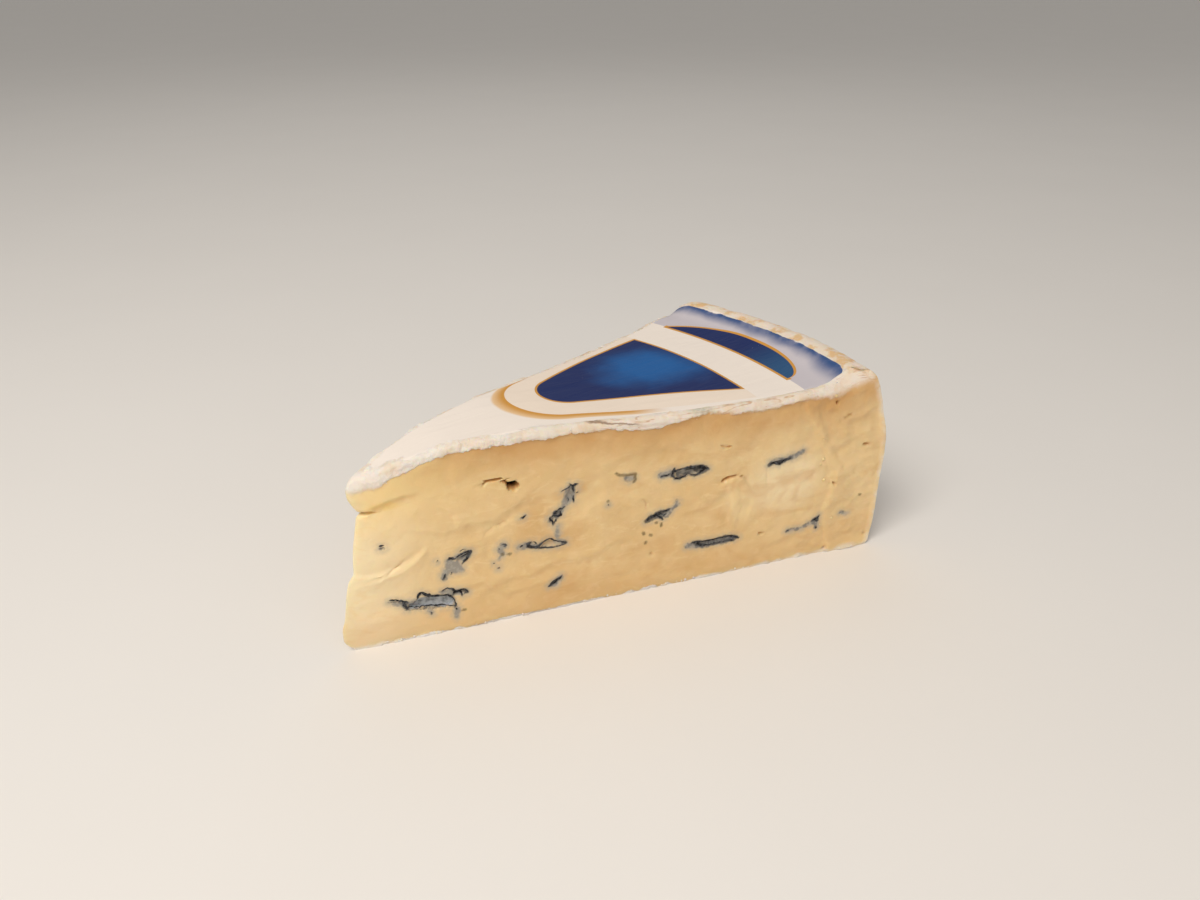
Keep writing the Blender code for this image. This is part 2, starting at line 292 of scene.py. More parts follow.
# ---- What the near cut shows. A place on it is (distance from the wheel's centre, height).
# Threads of blue-black mould: strokes of (distance, height, half width).
NEAR_THREADS = (
    # The open pocket low on the nose side: its tail, head, left wall, roof, right wall and floor.
    #     Its thick dark roof line is partly mould and partly painted shade under the pocket's roof.
    ((9.4, 10.3, 0.15), (10.9, 10.1, 0.18), (12.0, 9.6, 0.25), (13.2, 9.2, 0.35)),
    ((12.1, 9.4, 0.3), (12.5, 8.4, 0.3), (12.8, 7.8, 0.3), (14.2, 7.5, 0.15)),
    ((14.6, 8.5, 0.3), (15.0, 8.9, 0.12), (15.3, 9.8, 0.2), (15.6, 10.6, 0.3), (16.2, 11.0, 0.25)),
    # Partly painted shade: the roof line is thick and dark where the roof hangs over the pocket.
    ((16.2, 11.0, 0.2), (17.1, 10.2, 0.3), (18.9, 9.3, 0.5), (20.0, 9.3, 0.45), (21.6, 9.2, 0.45)),
    ((21.6, 9.2, 0.4), (22.2, 8.8, 0.3), (22.8, 7.8, 0.12), (23.2, 6.8, 0.2), (22.9, 6.3, 0.2)),
    ((20.4, 10.4, 0.12), (21.6, 10.9, 0.12), (22.6, 10.6, 0.2), (23.2, 9.9, 0.3)),
    ((22.9, 9.2, 0.3), (23.6, 9.6, 0.5), (24.3, 9.6, 0.3), (24.6, 8.4, 0.1)),
    ((24.2, 10.1, 0.2), (25.3, 9.95, 0.2), (26.0, 9.1, 0.25), (25.2, 8.9, 0.15)),
    ((14.2, 7.5, 0.12), (15.5, 7.3, 0.2), (18.4, 6.8, 0.18), (21.4, 6.5, 0.12), (23.3, 6.5, 0.2)),
    ((23.0, 5.8, 0.15), (23.3, 5.5, 0.2)),
    ((17.9, 5.8, 0.2), (17.9, 5.5, 0.18)),
    # The arrow above it, with its tail of spots.
    ((24.1, 18.1, 0.2), (25.4, 18.7, 0.25), (26.2, 18.9, 0.32), (27.1, 19.1, 0.25)),
    ((27.1, 19.0, 0.25), (26.9, 18.3, 0.3), (26.4, 17.5, 0.3), (25.7, 16.8, 0.25),
     (25.1, 16.2, 0.12)),
    ((24.7, 19.2, 0.06), (25.3, 19.6, 0.08), (26.2, 19.6, 0.06)),
    ((25.0, 17.5, 0.08), (25.9, 17.9, 0.14), (26.5, 18.2, 0.12)),
    ((22.2, 17.8, 0.2), (22.7, 18.1, 0.3), (23.6, 17.7, 0.15), (24.3, 17.6, 0.08)),
    ((19.8, 18.0, 0.12), (20.2, 17.9, 0.1)),
    ((21.0, 13.5, 0.28), (21.2, 13.9, 0.25), (21.5, 14.6, 0.1)),
    ((22.7, 14.4, 0.12), (22.9, 14.7, 0.12)),
    # The faint ring and its dots.
    ((33.7, 19.1, 0.1), (34.3, 19.3, 0.12), (34.7, 18.9, 0.12), (34.1, 18.6, 0.1)),
    ((33.0, 18.4, 0.1), (33.0, 18.1, 0.12)),
    ((31.9, 15.0, 0.14), (31.9, 14.8, 0.12)),
    ((32.7, 13.6, 0.18), (33.0, 13.5, 0.16)),
    # The almond: its loose left end, head, upper edge and lower edge.
    ((37.6, 17.7, 0.15), (38.3, 18.1, 0.2)),
    ((40.1, 18.4, 0.2), (39.4, 18.1, 0.4), (39.4, 17.5, 0.4), (40.7, 17.0, 0.35),
     (41.7, 16.8, 0.35)),
    ((40.6, 18.5, 0.12), (41.1, 18.0, 0.12), (41.4, 17.6, 0.1)),
    ((41.7, 16.9, 0.35), (42.2, 17.5, 0.28), (42.9, 17.9, 0.2), (43.5, 18.2, 0.18),
     (44.3, 18.4, 0.22)),
    ((44.3, 18.4, 0.2), (45.1, 17.9, 0.15), (45.9, 17.3, 0.12), (46.9, 17.1, 0.2),
     (48.0, 16.7, 0.28)),
    ((41.8, 16.6, 0.25), (43.2, 16.4, 0.15), (44.2, 16.2, 0.18), (45.5, 16.1, 0.12)),
    ((45.5, 16.1, 0.12), (46.8, 16.3, 0.14), (48.0, 16.5, 0.22)),
    # The chain above the almond, from its cap down to its foot.
    ((48.9, 30.8, 0.12), (49.5, 30.2, 0.22), (50.2, 30.4, 0.28), (50.8, 30.4, 0.15)),
    ((49.8, 30.1, 0.3), (49.9, 29.2, 0.3), (49.9, 28.4, 0.15)),
    ((50.3, 28.4, 0.1), (50.8, 28.5, 0.16)),
    ((47.1, 29.2, 0.08), (48.1, 29.7, 0.12), (49.2, 30.1, 0.18)),
    ((49.9, 27.7, 0.12), (49.8, 26.3, 0.25)),
    ((48.7, 27.0, 0.1), (48.7, 26.6, 0.15)),
    ((47.8, 25.5, 0.2), (47.4, 25.2, 0.15), (46.9, 25.0, 0.25), (46.5, 24.7, 0.2)),
    ((46.3, 24.3, 0.2), (45.8, 24.8, 0.25), (45.3, 24.5, 0.28), (45.5, 24.0, 0.22),
     (46.2, 24.0, 0.2)),
    ((46.9, 24.4, 0.2), (47.0, 23.8, 0.25), (46.2, 23.3, 0.25), (45.3, 23.7, 0.25),
     (44.6, 23.5, 0.2)),
    ((44.3, 23.5, 0.2), (44.5, 22.7, 0.2), (45.2, 22.2, 0.25), (45.1, 21.5, 0.15)),
    ((45.9, 23.1, 0.15), (45.8, 22.5, 0.2), (45.3, 22.1, 0.2)),
    # The drop below the almond.
    ((43.4, 6.5, 0.1), (44.5, 6.8, 0.35), (45.2, 7.2, 0.6), (46.1, 8.0, 0.25), (46.8, 8.7, 0.08)),
    # The eye: its tail, left spike, upper edge, thick right end and lower edge.
    ((69.8, 28.5, 0.14), (70.3, 28.7, 0.1), (71.1, 28.6, 0.16), (71.7, 28.8, 0.1)),
    ((72.9, 30.1, 0.1), (72.6, 29.3, 0.3), (72.4, 28.5, 0.28), (73.0, 27.7, 0.15)),
    ((72.6, 29.2, 0.3), (73.5, 29.4, 0.2), (74.4, 29.5, 0.14), (75.4, 29.7, 0.18),
     (76.3, 29.7, 0.28)),
    ((76.3, 29.7, 0.28), (77.6, 29.5, 0.4), (79.1, 29.2, 0.6), (80.2, 28.9, 0.5),
     (81.1, 28.4, 0.2)),
    ((73.0, 27.6, 0.16), (74.2, 27.4, 0.24), (75.3, 27.6, 0.14), (76.4, 27.9, 0.1)),
    ((76.4, 27.9, 0.12), (77.9, 27.4, 0.14), (79.2, 27.8, 0.24), (80.4, 28.2, 0.3)),
    ((76.0, 28.7, 0.06), (77.4, 28.8, 0.1), (78.6, 28.4, 0.14)),
    # The slanted streak below the eye.
    ((66.6, 18.1, 0.45), (67.6, 18.6, 0.7), (68.4, 18.8, 0.55), (69.1, 19.2, 0.7),
     (70.1, 19.7, 0.4)),
    ((70.1, 19.6, 0.35), (71.4, 19.8, 0.22), (72.1, 20.0, 0.12)),
    ((69.0, 18.9, 0.3), (69.8, 18.4, 0.22), (70.5, 17.7, 0.12)),
    ((69.9, 19.1, 0.16), (70.7, 18.7, 0.1), (71.3, 19.1, 0.08)),
    # The long low streak: its upper line with two heads, and its lower line.
    ((77.8, 10.2, 0.18), (79.0, 10.2, 0.32), (80.4, 9.9, 0.25), (82.3, 9.6, 0.18),
     (84.7, 9.7, 0.22)),
    ((84.7, 9.7, 0.22), (86.0, 10.0, 0.36), (87.7, 9.8, 0.3), (89.1, 9.3, 0.3), (89.7, 9.0, 0.15)),
    ((78.9, 9.6, 0.3), (80.3, 8.8, 0.28), (81.9, 8.7, 0.16), (83.6, 8.7, 0.14), (85.3, 8.7, 0.16)),
    ((85.3, 8.7, 0.14), (86.8, 8.8, 0.12), (88.5, 8.7, 0.2)),
    # The slanted streak high on the right, and the rising one below it.
    ((96.3, 26.7, 0.4), (97.7, 26.9, 0.28), (99.0, 26.6, 0.42), (100.2, 27.0, 0.25),
     (101.7, 27.6, 0.22)),
    ((102.3, 8.0, 0.15), (102.9, 8.3, 0.12)),
    ((109.2, 9.3, 0.15), (109.9, 9.7, 0.28), (110.6, 9.9, 0.3), (111.1, 10.4, 0.12)),
    ((110.2, 9.4, 0.25), (110.8, 9.2, 0.22)),
    ((110.4, 7.5, 0.22), (110.5, 7.2, 0.22)),
    # Single specks.
    ((8.7, 23.3, 0.12), (9.2, 23.4, 0.28), (9.8, 23.4, 0.12)),
    ((38.2, 24.7, 0.2), (38.6, 24.7, 0.2), (39.2, 25.1, 0.16)),
    ((57.5, 24.2, 0.14), (57.6, 24.0, 0.12)),
)
# Soft grey-blue mould round and between the threads.
NEAR_STAINS = (
    ((10.0, 10.0, 0.1), (12.6, 9.0, 0.5), (14.6, 9.0, 0.7)),
    ((20.6, 10.3, 0.4), (22.4, 9.9, 0.6), (25.4, 9.5, 0.4)),
    ((17.4, 6.4, 0.3), (18.0, 5.8, 0.3)),
    ((23.2, 5.6, 0.5), (23.1, 3.6, 0.3)),
    ((24.2, 18.3, 0.4), (25.2, 17.6, 0.8), (26.5, 18.5, 0.7)),
    ((22.4, 17.4, 0.7), (23.0, 16.2, 1.2), (23.8, 15.6, 1.1), (24.9, 14.9, 0.4)),
    ((21.6, 15.2, 0.6), (21.2, 13.8, 0.5)),
    ((34.2, 18.9, 0.7), (33.2, 18.2, 0.4), (33.8, 16.8, 0.35), (33.0, 15.7, 0.1)),
    ((37.6, 17.8, 0.4), (39.0, 17.8, 0.5), (41.4, 17.2, 0.4)),
    ((45.8, 17.3, 0.4), (47.4, 16.9, 0.3)),
    ((46.2, 21.2, 0.3), (46.0, 18.8, 0.4)),
    ((44.8, 23.0, 0.5), (46.2, 24.2, 0.7), (47.6, 25.6, 0.4)),
    ((48.2, 26.6, 0.8), (49.0, 27.6, 0.9), (48.9, 29.4, 0.9)),
    ((44.0, 6.6, 0.3), (45.2, 7.2, 0.8), (46.3, 8.2, 0.5)),
    ((61.4, 29.8, 0.2), (62.6, 29.5, 0.6), (63.4, 29.4, 0.3)),
    ((70.0, 28.9, 0.7), (71.8, 29.0, 0.8)),
    ((74.0, 28.5, 0.6), (76.6, 28.7, 0.7), (79.4, 28.6, 0.6)),
    ((69.4, 18.9, 0.6), (71.0, 18.8, 0.6), (72.4, 19.7, 0.3)),
    ((72.2, 20.0, 0.15), (73.2, 20.4, 0.3), (73.8, 21.0, 0.4), (73.9, 21.9, 0.1)),
    ((76.8, 9.6, 0.6), (79.0, 9.4, 0.8), (84.0, 9.2, 0.7), (88.0, 9.3, 0.6)),
    ((96.6, 27.3, 0.3), (100.4, 27.4, 0.4), (103.4, 27.9, 0.4), (104.9, 28.6, 0.3)),
    ((102.4, 8.1, 0.25), (105.9, 8.0, 0.25), (108.3, 8.8, 0.3), (110.3, 9.2, 0.5),
     (110.4, 7.6, 0.3)),
    ((117.0, 10.0, 0.3), (118.6, 9.4, 0.2)),
)
# Flat slate-blue mould on the floor of the open pocket.
NEAR_FLOORS = (
    ((14.0, 8.1, 0.5), (16.6, 8.4, 0.9), (18.4, 8.1, 1.2), (20.6, 7.9, 1.2), (22.0, 7.7, 0.9)),
)
# Olive-brown specks and lines.
NEAR_SPECKS = (
    ((59.3, 31.4, 0.08), (60.1, 30.8, 0.12), (62.0, 30.5, 0.1), (63.8, 30.4, 0.14),
     (63.6, 29.4, 0.1)),
    ((63.8, 29.0, 0.14), (63.4, 28.5, 0.1)),
    ((65.8, 15.4, 0.1), (66.0, 15.0, 0.2)),
    ((67.5, 14.4, 0.14), (67.9, 14.2, 0.1)),
    ((66.5, 12.7, 0.16), (66.5, 12.4, 0.14)),
    ((68.9, 17.2, 0.14), (69.1, 17.1, 0.12)),
    ((70.2, 16.8, 0.06), (70.2, 16.1, 0.12)),
    ((33.8, 16.9, 0.14), (33.9, 16.7, 0.14)),
    ((35.0, 16.6, 0.06), (35.4, 16.4, 0.06), (35.6, 16.7, 0.05)),
    ((24.4, 5.1, 0.06), (25.0, 5.1, 0.1)),
    ((57.4, 25.1, 0.08), (57.5, 25.0, 0.1)),
    ((121.5, 14.2, 0.1), (121.9, 14.0, 0.1)),
)
# Pits and slits in the paste: strokes of (distance, height, half width), and how deep they go.
NEAR_PITS = (
    (((36.6, 32.6, 0.8), (37.2, 32.4, 0.8)), 5.0),
    (((30.7, 33.7, 0.1), (31.6, 34.4, 0.2), (33.3, 34.5, 0.22), (34.3, 34.5, 0.3),
      (36.0, 33.1, 0.2)), 1.5),
    (((84.0, 33.5, 0.15), (86.0, 33.2, 0.2)), 0.9),
    (((84.9, 24.7, 0.3), (86.6, 25.3, 0.25), (87.9, 25.4, 0.15), (89.3, 25.0, 0.1),
      (90.4, 24.3, 0.05)), 1.2),
    (((95.0, 8.9, 0.3), (95.7, 8.9, 0.25)), 0.8),
    (((121.3, 27.6, 0.3), (122.6, 27.4, 0.15)), 1.1),
    (((115.0, 35.4, 0.2), (116.4, 36.0, 0.2)), 0.6),
    (((112.3, 39.8, 0.25), (112.4, 39.4, 0.2)), 0.9),
    (((113.8, 18.9, 0.25), (114.1, 18.5, 0.2)), 0.9),
    (((124.4, 2.8, 0.25), (124.8, 2.6, 0.2)), 0.7),
    (((68.0, 9.3, 0.3), (68.2, 9.0, 0.25)), 0.5),
    (((64.7, 23.5, 0.1), (65.5, 23.7, 0.12), (66.4, 22.9, 0.14), (66.4, 22.0, 0.1)), 0.4),
    (((6.4, 16.4, 0.05), (9.4, 17.0, 0.1), (12.0, 18.6, 0.12), (13.6, 19.8, 0.05)), 0.4),
    (((30.1, 22.1, 0.05), (31.2, 23.0, 0.1), (32.7, 23.6, 0.1), (34.1, 24.2, 0.12),
      (35.0, 24.4, 0.05)), 0.45),
    (((95.9, 26.0, 0.05), (96.4, 20.7, 0.1)), 0.3),
    (((113.4, 1.2, 0.25), (113.2, 0.0, 0.4)), 0.7),
)
# How far the mould pockets sink below the cut: strokes of (distance, height, half width), depth.
NEAR_POCKETS = (
    (((13.6, 8.3, 0.4), (16.4, 8.5, 1.2), (18.6, 8.1, 1.5), (20.8, 8.0, 1.4),
      (22.2, 7.7, 0.9)), 1.1),
    (((23.2, 9.6, 0.4), (25.2, 9.4, 0.4)), 0.7),
    (((43.0, 17.2, 0.5), (44.4, 17.3, 0.7), (46.2, 16.8, 0.3)), 0.5),
    (((74.0, 28.5, 0.6), (77.0, 28.7, 0.8), (79.6, 28.7, 0.7)), 0.9),
    (((79.5, 9.5, 0.5), (87.5, 9.4, 0.5)), 0.6),
    (((49.4, 29.8, 0.5), (49.0, 27.6, 0.8)), 0.6),
    (((45.0, 22.6, 0.5), (46.6, 24.6, 0.5)), 0.6),
    (((24.8, 17.3, 0.6), (26.4, 18.5, 0.5)), 0.6),
    (((97.0, 26.8, 0.4), (100.8, 27.2, 0.3)), 0.4),
    (((44.8, 7.0, 0.5), (45.6, 7.5, 0.5)), 0.6),
    (((67.0, 18.4, 0.4), (70.0, 19.2, 0.5)), 0.5),
)
# Folds left by the knife: a line, how much higher its left side stands, width and reach.
NEAR_FOLDS = (
    (((2.0, 18.2), (6.0, 17.2), (9.0, 17.6), (12.6, 18.4), (15.6, 20.0)), -0.5, 0.24, 1.8),
    (((4.0, 15.6), (7.3, 16.0), (10.1, 17.1), (13.9, 18.1), (17.0, 20.6)), -0.37, 0.24, 1.3),
    (((8.0, 32.2), (9.6, 33.2), (11.8, 33.9), (15.0, 34.1)), 0.74, 0.38, 1.8),
    (((26.0, 10.3), (29.5, 10.6), (31.6, 8.2), (34.8, 6.2), (38.5, 7.2),
      (44.1, 7.6)), 0.5, 0.56, 2.2),
    (((30.0, 8.6), (34.0, 10.4), (39.5, 10.0), (46.0, 12.2), (51.0, 11.6)), 0.37, 0.62, 2.2),
    (((18.5, 25.0), (22.0, 24.0), (27.0, 25.2), (33.0, 24.8), (37.0, 27.4)), 0.43, 0.62, 3.0),
    (((22.0, 29.8), (24.2, 28.2), (24.6, 26.0)), 0.37, 0.44, 1.5),
    (((27.0, 21.4), (31.0, 22.6), (36.0, 24.8)), -0.25, 0.62, 2.4),
    (((85.2, 24.4), (87.0, 25.2), (90.2, 24.6), (92.0, 21.0)), -0.5, 0.44, 2.6),
    (((86.0, 23.6), (87.4, 19.0), (86.6, 15.0)), 0.37, 0.5, 1.8),
    (((91.8, 23.0), (92.6, 18.0), (91.4, 14.0)), 0.31, 0.56, 1.8),
    (((89.0, 21.0), (89.6, 17.0), (88.6, 12.6)), -0.25, 0.44, 1.4),
    (((104.5, 40.0), (106.0, 36.0), (108.4, 32.0), (111.6, 26.0), (113.8, 20.0)), 0.45, 0.62, 1.8),
    (((108.0, 38.0), (110.0, 33.0), (112.5, 28.0), (115.5, 23.0)), -0.35, 0.5, 1.5),
    (((113.6, 19.0), (111.8, 12.0), (113.4, 5.0), (113.4, 0.0)), 0.4, 0.56, 2.2),
    (((99.0, 36.0), (104.0, 34.0), (107.5, 30.5)), 0.25, 0.88, 2.6),
    (((112.5, 37.4), (115.0, 34.8), (118.0, 34.4), (121.5, 36.0)), 0.4, 0.56, 1.8),
    (((114.5, 33.2), (118.0, 31.4), (120.5, 31.8)), -0.25, 0.62, 1.8),
    (((98.0, 5.2), (103.0, 6.4), (110.5, 4.8)), 0.25, 0.62, 1.8),
    (((55.0, 12.0), (60.0, 14.4), (66.0, 13.2)), 0.28, 0.75, 2.6),
    (((52.0, 23.4), (57.0, 27.0), (63.0, 26.0)), -0.31, 0.88, 3.0),
    (((50.0, 35.0), (58.0, 33.6), (66.0, 35.6), (74.0, 34.2)), 0.25, 1.0, 2.4),
    (((76.0, 21.0), (80.0, 19.0), (84.0, 20.6)), 0.25, 0.75, 2.4),
    (((54.0, 5.2), (62.0, 4.2), (72.0, 5.4)), -0.25, 0.75, 2.2),
)
# Thickness of the white lip that the top rind makes over the near cut.
NEAR_LIP = (
    (0, 3.6), (8, 3.1), (14, 2.5), (22, 1.7), (38, 2.2), (56, 1.5), (67, 2.4), (79, 0.6), (94, 1.7),
    (104, 1.2), (112, 2.3), (118, 2.9), (124, 2.6),
)
FAR_LIP = ((0, 2.6), (20, 1.8), (45, 2.4), (70, 1.5), (90, 2.2), (110, 1.4), (124, 3.0))
near_lip = curve_through(NEAR_LIP)
far_lip = curve_through(FAR_LIP)

DEEP = 50.0  # distance given to points that lie far inside a region
RIND_AT_RIM = 0.5  # thickness of the rind seen at the rim end of a cut
RIND_AT_BASE = 0.6
PIT_EDGE = 0.35  # width of the sloping side of a pit
POCKET_EDGE = 0.45
STAIN_SPREAD = 0.12  # of the grey-blue mould beyond its strokes


def random_veins(seed, count):
    """Threads, stains and pockets for the cut that the photo doesn't show."""
    pick = random.Random(seed)
    threads, stains, pockets = [], [], []
    for k in range(count):
        along = 12.0 + 102.0 * (k + pick.uniform(0.1, 0.9)) / count
        up = pick.choice((8.0, 14.0, 20.0, 27.0, 32.0)) + pick.uniform(-2.0, 2.0)
        length = pick.uniform(2.5, 7.5)
        slant = pick.uniform(-0.15, 0.45)
        width = pick.uniform(0.25, 0.45)
        bow = pick.uniform(-0.8, 0.8)
        upper, lower, middle = [], [], []
        for share in (0.0, 0.3, 0.6, 0.85, 1.0):
            x = along + length * share
            y = up + length * share * slant + bow * math.sin(math.pi * share)
            gap = pick.uniform(0.8, 1.9) * width * math.sin(math.pi * share)
            thick = width * (0.3 + 0.7 * math.sin(math.pi * min(share + 0.15, 1.0)))
            upper.append((x, y + gap, thick))
            lower.append((x, y - gap, thick * 0.5))
            middle.append((x, y, width * 1.4))
        threads += [upper, lower]
        stains.append(middle)
        pockets.append((middle[1:4], pick.uniform(0.3, 0.9)))
        if pick.random() < 0.5:
            speck = up + pick.uniform(-3.0, 3.0)
            threads.append([(along - 1.6, speck, 0.12), (along - 1.3, speck, 0.18)])
    return threads, stains, pockets


FAR_THREADS, FAR_STAINS, FAR_POCKETS = random_veins(seed=11, count=13)
FAR_FLOORS = (((46.0, 20.0, 0.3), (49.0, 20.6, 0.8), (52.0, 20.4, 0.4)),)
FAR_SPECKS = (((70.0, 12.0, 0.14), (70.3, 11.8, 0.1)), ((36.0, 30.0, 0.1), (36.4, 30.3, 0.14)))
FAR_FOLDS = (
    (((6.0, 24.0), (14.0, 26.0), (24.0, 24.0)), 0.7, 0.4, 2.5),
    (((30.0, 12.0), (38.0, 9.0), (48.0, 11.0)), 0.7, 0.5, 2.5),
    (((58.0, 30.0), (66.0, 26.0), (70.0, 18.0)), -0.7, 0.6, 3.0),
    (((84.0, 14.0), (92.0, 18.0), (101.0, 16.0)), 0.7, 0.5, 3.0),
    (((104.0, 34.0), (110.0, 28.0), (112.0, 20.0)), -0.8, 0.5, 2.5),
)
FAR_PITS = (
    (((52.0, 34.0, 0.3), (55.0, 34.6, 0.3)), 1.2),
    (((78.0, 30.0, 0.3), (80.0, 29.6, 0.2)), 0.8),
    (((97.0, 8.0, 0.2), (99.0, 8.4, 0.3)), 0.7),
)

NEAR_CUT = (
    NEAR_THREADS, NEAR_STAINS, NEAR_FLOORS, NEAR_SPECKS, NEAR_PITS, NEAR_POCKETS, NEAR_FOLDS
)
FAR_CUT = (FAR_THREADS, FAR_STAINS, FAR_FLOORS, FAR_SPECKS, FAR_PITS, FAR_POCKETS, FAR_FOLDS)


def mould_relief(points):
    """Lumps and fluff of the white rind."""
    lumps = 0.20 * noise(points, 4.2, 3) + 0.08 * noise(points, 1.6, 5)
    return lumps + 0.04 * noise(points, 0.7, 7)


FLAP_WIDTH = 1.5


def lip_relief(points, across):
    """The torn edge of the top rind: thin flaps that run along the edge and overlap.

    across is the distance from the edge, above 0 on the top and below 0 on the cut.
    """
    radius = distance(points)
    flat = np.stack([radius, across, np.zeros(len(points))], axis=1)
    uneven = 1.3 * noise(flat, (9.0, 4.0, 1.0), 12)
    flap = (across + uneven + 0.5 * noise(flat, (2.6, 2.0, 1.0), 14)) / FLAP_WIDTH
    share = flap - np.floor(flap)
    terrace = np.minimum(share / 0.75, (1.0 - share) / 0.25)
    swell = 0.22 * noise(flat, (6.0, 3.0, 1.0), 16) + 0.06 * noise(flat, (1.3, 0.8, 1.0), 13)
    before_corner = smooth_step((116.0 - radius) / 9.0)
    behind_nose = smooth_step((radius - 30.0) / 25.0)
    torn = (0.22 + 0.2 * terrace * behind_nose + swell) * before_corner
    fluff = 0.14 * noise(points, 0.9, 17) + 0.09 * noise(points, 0.45, 18)
    lumps = (0.8 - 0.3 * behind_nose) * mould_relief(points)
    return torn + lumps + (1.0 - 0.6 * behind_nose) * fluff


def rim_relief(points):
    """The round side of the wheel: fluffy rind with shallow dents."""
    height = mould_relief(points) + 0.25 * noise(points, (9.0, 9.0, 6.0), 21)
    return height * smooth_step(points[:, 2] / 1.5)


def paste_relief(flat, radius, seed):
    """Knife smears and crumbs on a cut, rougher towards the rim."""
    crumbly = smooth_step((radius - 98.0) / 12.0)
    height = 0.26 * noise(flat, (14.0, 9.0, 1.0), seed + 8)
    height += (0.16 + 0.04 * crumbly) * noise(flat, (5.0, 3.4, 1.0), seed + 9)
    height += (0.07 + 0.10 * crumbly) * noise(flat, (2.1, 1.6, 1.0), seed + 10)
    return height + (0.025 + 0.03 * crumbly) * noise(flat, (0.9, 0.8, 1.0), seed + 14)


def rind_on_cut(points, radius, flat, lip, seed):
    """How far a point lies in the rind on a cut: below the lip, from the rim and in the base."""
    edge = crown_height(radius)
    ragged_lip = lip(radius) + 0.18 * noise(flat, (3.2, 2.0, 1.0), seed + 3)
    ragged_lip += 0.25 * noise(flat, (1.2, 1.2, 1.0), seed + 4)
    ragged_lip += 0.20 * noise(flat, (0.5, 0.5, 1.0), seed + 7)
    below_lip = edge - ragged_lip - points[:, 2]
    rim_gap = rim_radius(points[:, 2] / edge, HALF_ANGLE) - radius
    rim_rind = RIND_AT_RIM + 0.25 * noise(flat, 1.2, seed + 5) - rim_gap
    base_rind = RIND_AT_BASE * (0.6 + 0.8 * noise(flat, (1.8, 9.0, 1.0), seed + 6)) - points[:, 2]
    return below_lip, rim_gap, rim_rind, base_rind


def sunk_by(place, stroke, depth, edge):
    """How far a stroke sinks the cut. Its sides slope over the width of its edge."""
    return depth * smooth_step(0.5 - stroke_distance(place, stroke) / edge)


def cut_fields(points, lip, seed, threads, stains, floors, specks, pits, pockets, folds):
    """Height of the relief on a cut, and the fields that its material reads."""
    radius = distance(points)
    place = np.stack([radius, points[:, 2]], axis=1)
    flat = np.stack([radius, points[:, 2], np.full(len(points), seed * 50.0)], axis=1)
    wobble = 0.2 * np.stack([noise(flat, 1.3, seed + 41), noise(flat, 1.3, seed + 43)], axis=1)
    ragged = place + wobble
    below_lip, rim_gap, rim_rind, base_rind = rind_on_cut(points, radius, flat, lip, seed)
    rind = np.maximum(np.maximum(-below_lip, rim_rind), base_rind)
    at_ends = np.maximum(smooth_step((radius - 102.0) / 10.0), smooth_step((13.0 - radius) / 8.0))
    lip_share = smooth_step(0.5 - below_lip / (0.5 + 2.5 * at_ends))
    across = points[:, 2] - crown_height(radius)

    height = paste_relief(flat, radius, seed)
    for line, rise, width, reach in folds:
        side, gap = step_along(place + 1.5 * wobble, line)
        height += 0.5 * rise * np.tanh(side / width) * bell(gap, reach)
    sunk = np.zeros(len(points))
    for stroke, depth in pits:
        sunk = np.maximum(sunk, sunk_by(ragged, stroke, depth, PIT_EDGE))
    height -= sunk
    for stroke, depth in pockets:
        height -= sunk_by(ragged, stroke, depth, POCKET_EDGE)
    height *= smooth_step(0.5 - rind / 0.7)
    crumbly = 0.6 + noise(flat, (1.1, 0.8, 1.0), seed + 15)
    height += 0.3 * smooth_step(base_rind / 0.5 + 0.5) * crumbly
    height += lip_share * (lip_relief(points, across) - height)
    height += bell(rim_gap, 0.9) * (rim_relief(points) - height)
    thin = np.minimum(1.0, np.abs(points[:, 1]) / 1.6)
    return {
        "height": height * (0.15 + 0.85 * thin),
        "dark": strokes_distance(place, threads),
        "grey": strokes_distance(ragged, stains) - STAIN_SPREAD,
        "slate": strokes_distance(ragged, floors),
        "olive": strokes_distance(place, specks),
        # Depth of the pits, which the cheese's colour darkens with painted shade.
        "sunk": sunk,
        "rind": rind,
        "below_lip": below_lip,
        "across": across,
        "browned": 0.3 * lip_share + 0.7 * bell(rim_gap, 3.0),
    }


def near_fields(points):
    fields = cut_fields(points, near_lip, 1, *NEAR_CUT)
    # The foot of the slab spreads outwards at the rim end, beyond a small notch.
    radius = distance(points)
    fields["height"] += 0.7 * smooth_step(radius - 113.4) * smooth_step(1.0 - points[:, 2] / 3.2)
    return fields


def far_fields(points):
    fields = cut_fields(points, far_lip, 2, *FAR_CUT)
    # Where the label lies over the rounded edge, the rind is calm.
    radius = distance(points)
    below_top = top_height(radius, np.full(len(points), HALF_ANGLE)) - points[:, 2]
    covered = smooth_step(1.5 - below_top / edge_radius(radius)) * smooth_step(LABEL_END - radius)
    covered *= smooth_step((radius - LABEL_START) / 3.0)
    covered *= smooth_step((edge_gaps(points)[1] - LABEL_FAR_GAP) / 0.3 + 1.0)
    fields["height"] += covered * (calm_relief(points) - 0.05 - fields["height"])
    return fields


def rind_fields(height, across, browned):
    """Fields for points that lie wholly in the rind, far from any vein."""
    deep = np.full(len(height), DEEP)
    fields = dict.fromkeys(("dark", "grey", "slate", "olive", "rind"), deep)
    return {
        **fields,
        "height": height,
        "sunk": 0.0 * deep,
        "below_lip": -deep,
        "across": across,
        "browned": browned,
    }


def rim_fields(points):
    crest = smooth_step((points[:, 2] - 36.0) / 8.0)
    foot = smooth_step((4.0 - points[:, 2]) / 4.0)
    corner_gap = (HALF_ANGLE - np.abs(angle_of(points))) * WHEEL_RADIUS
    browned = 0.15 + 0.85 * np.maximum(crest, bell(corner_gap, 3.0)) + 0.3 * foot
    return rind_fields(rim_relief(points), np.full(len(points), DEEP), browned)


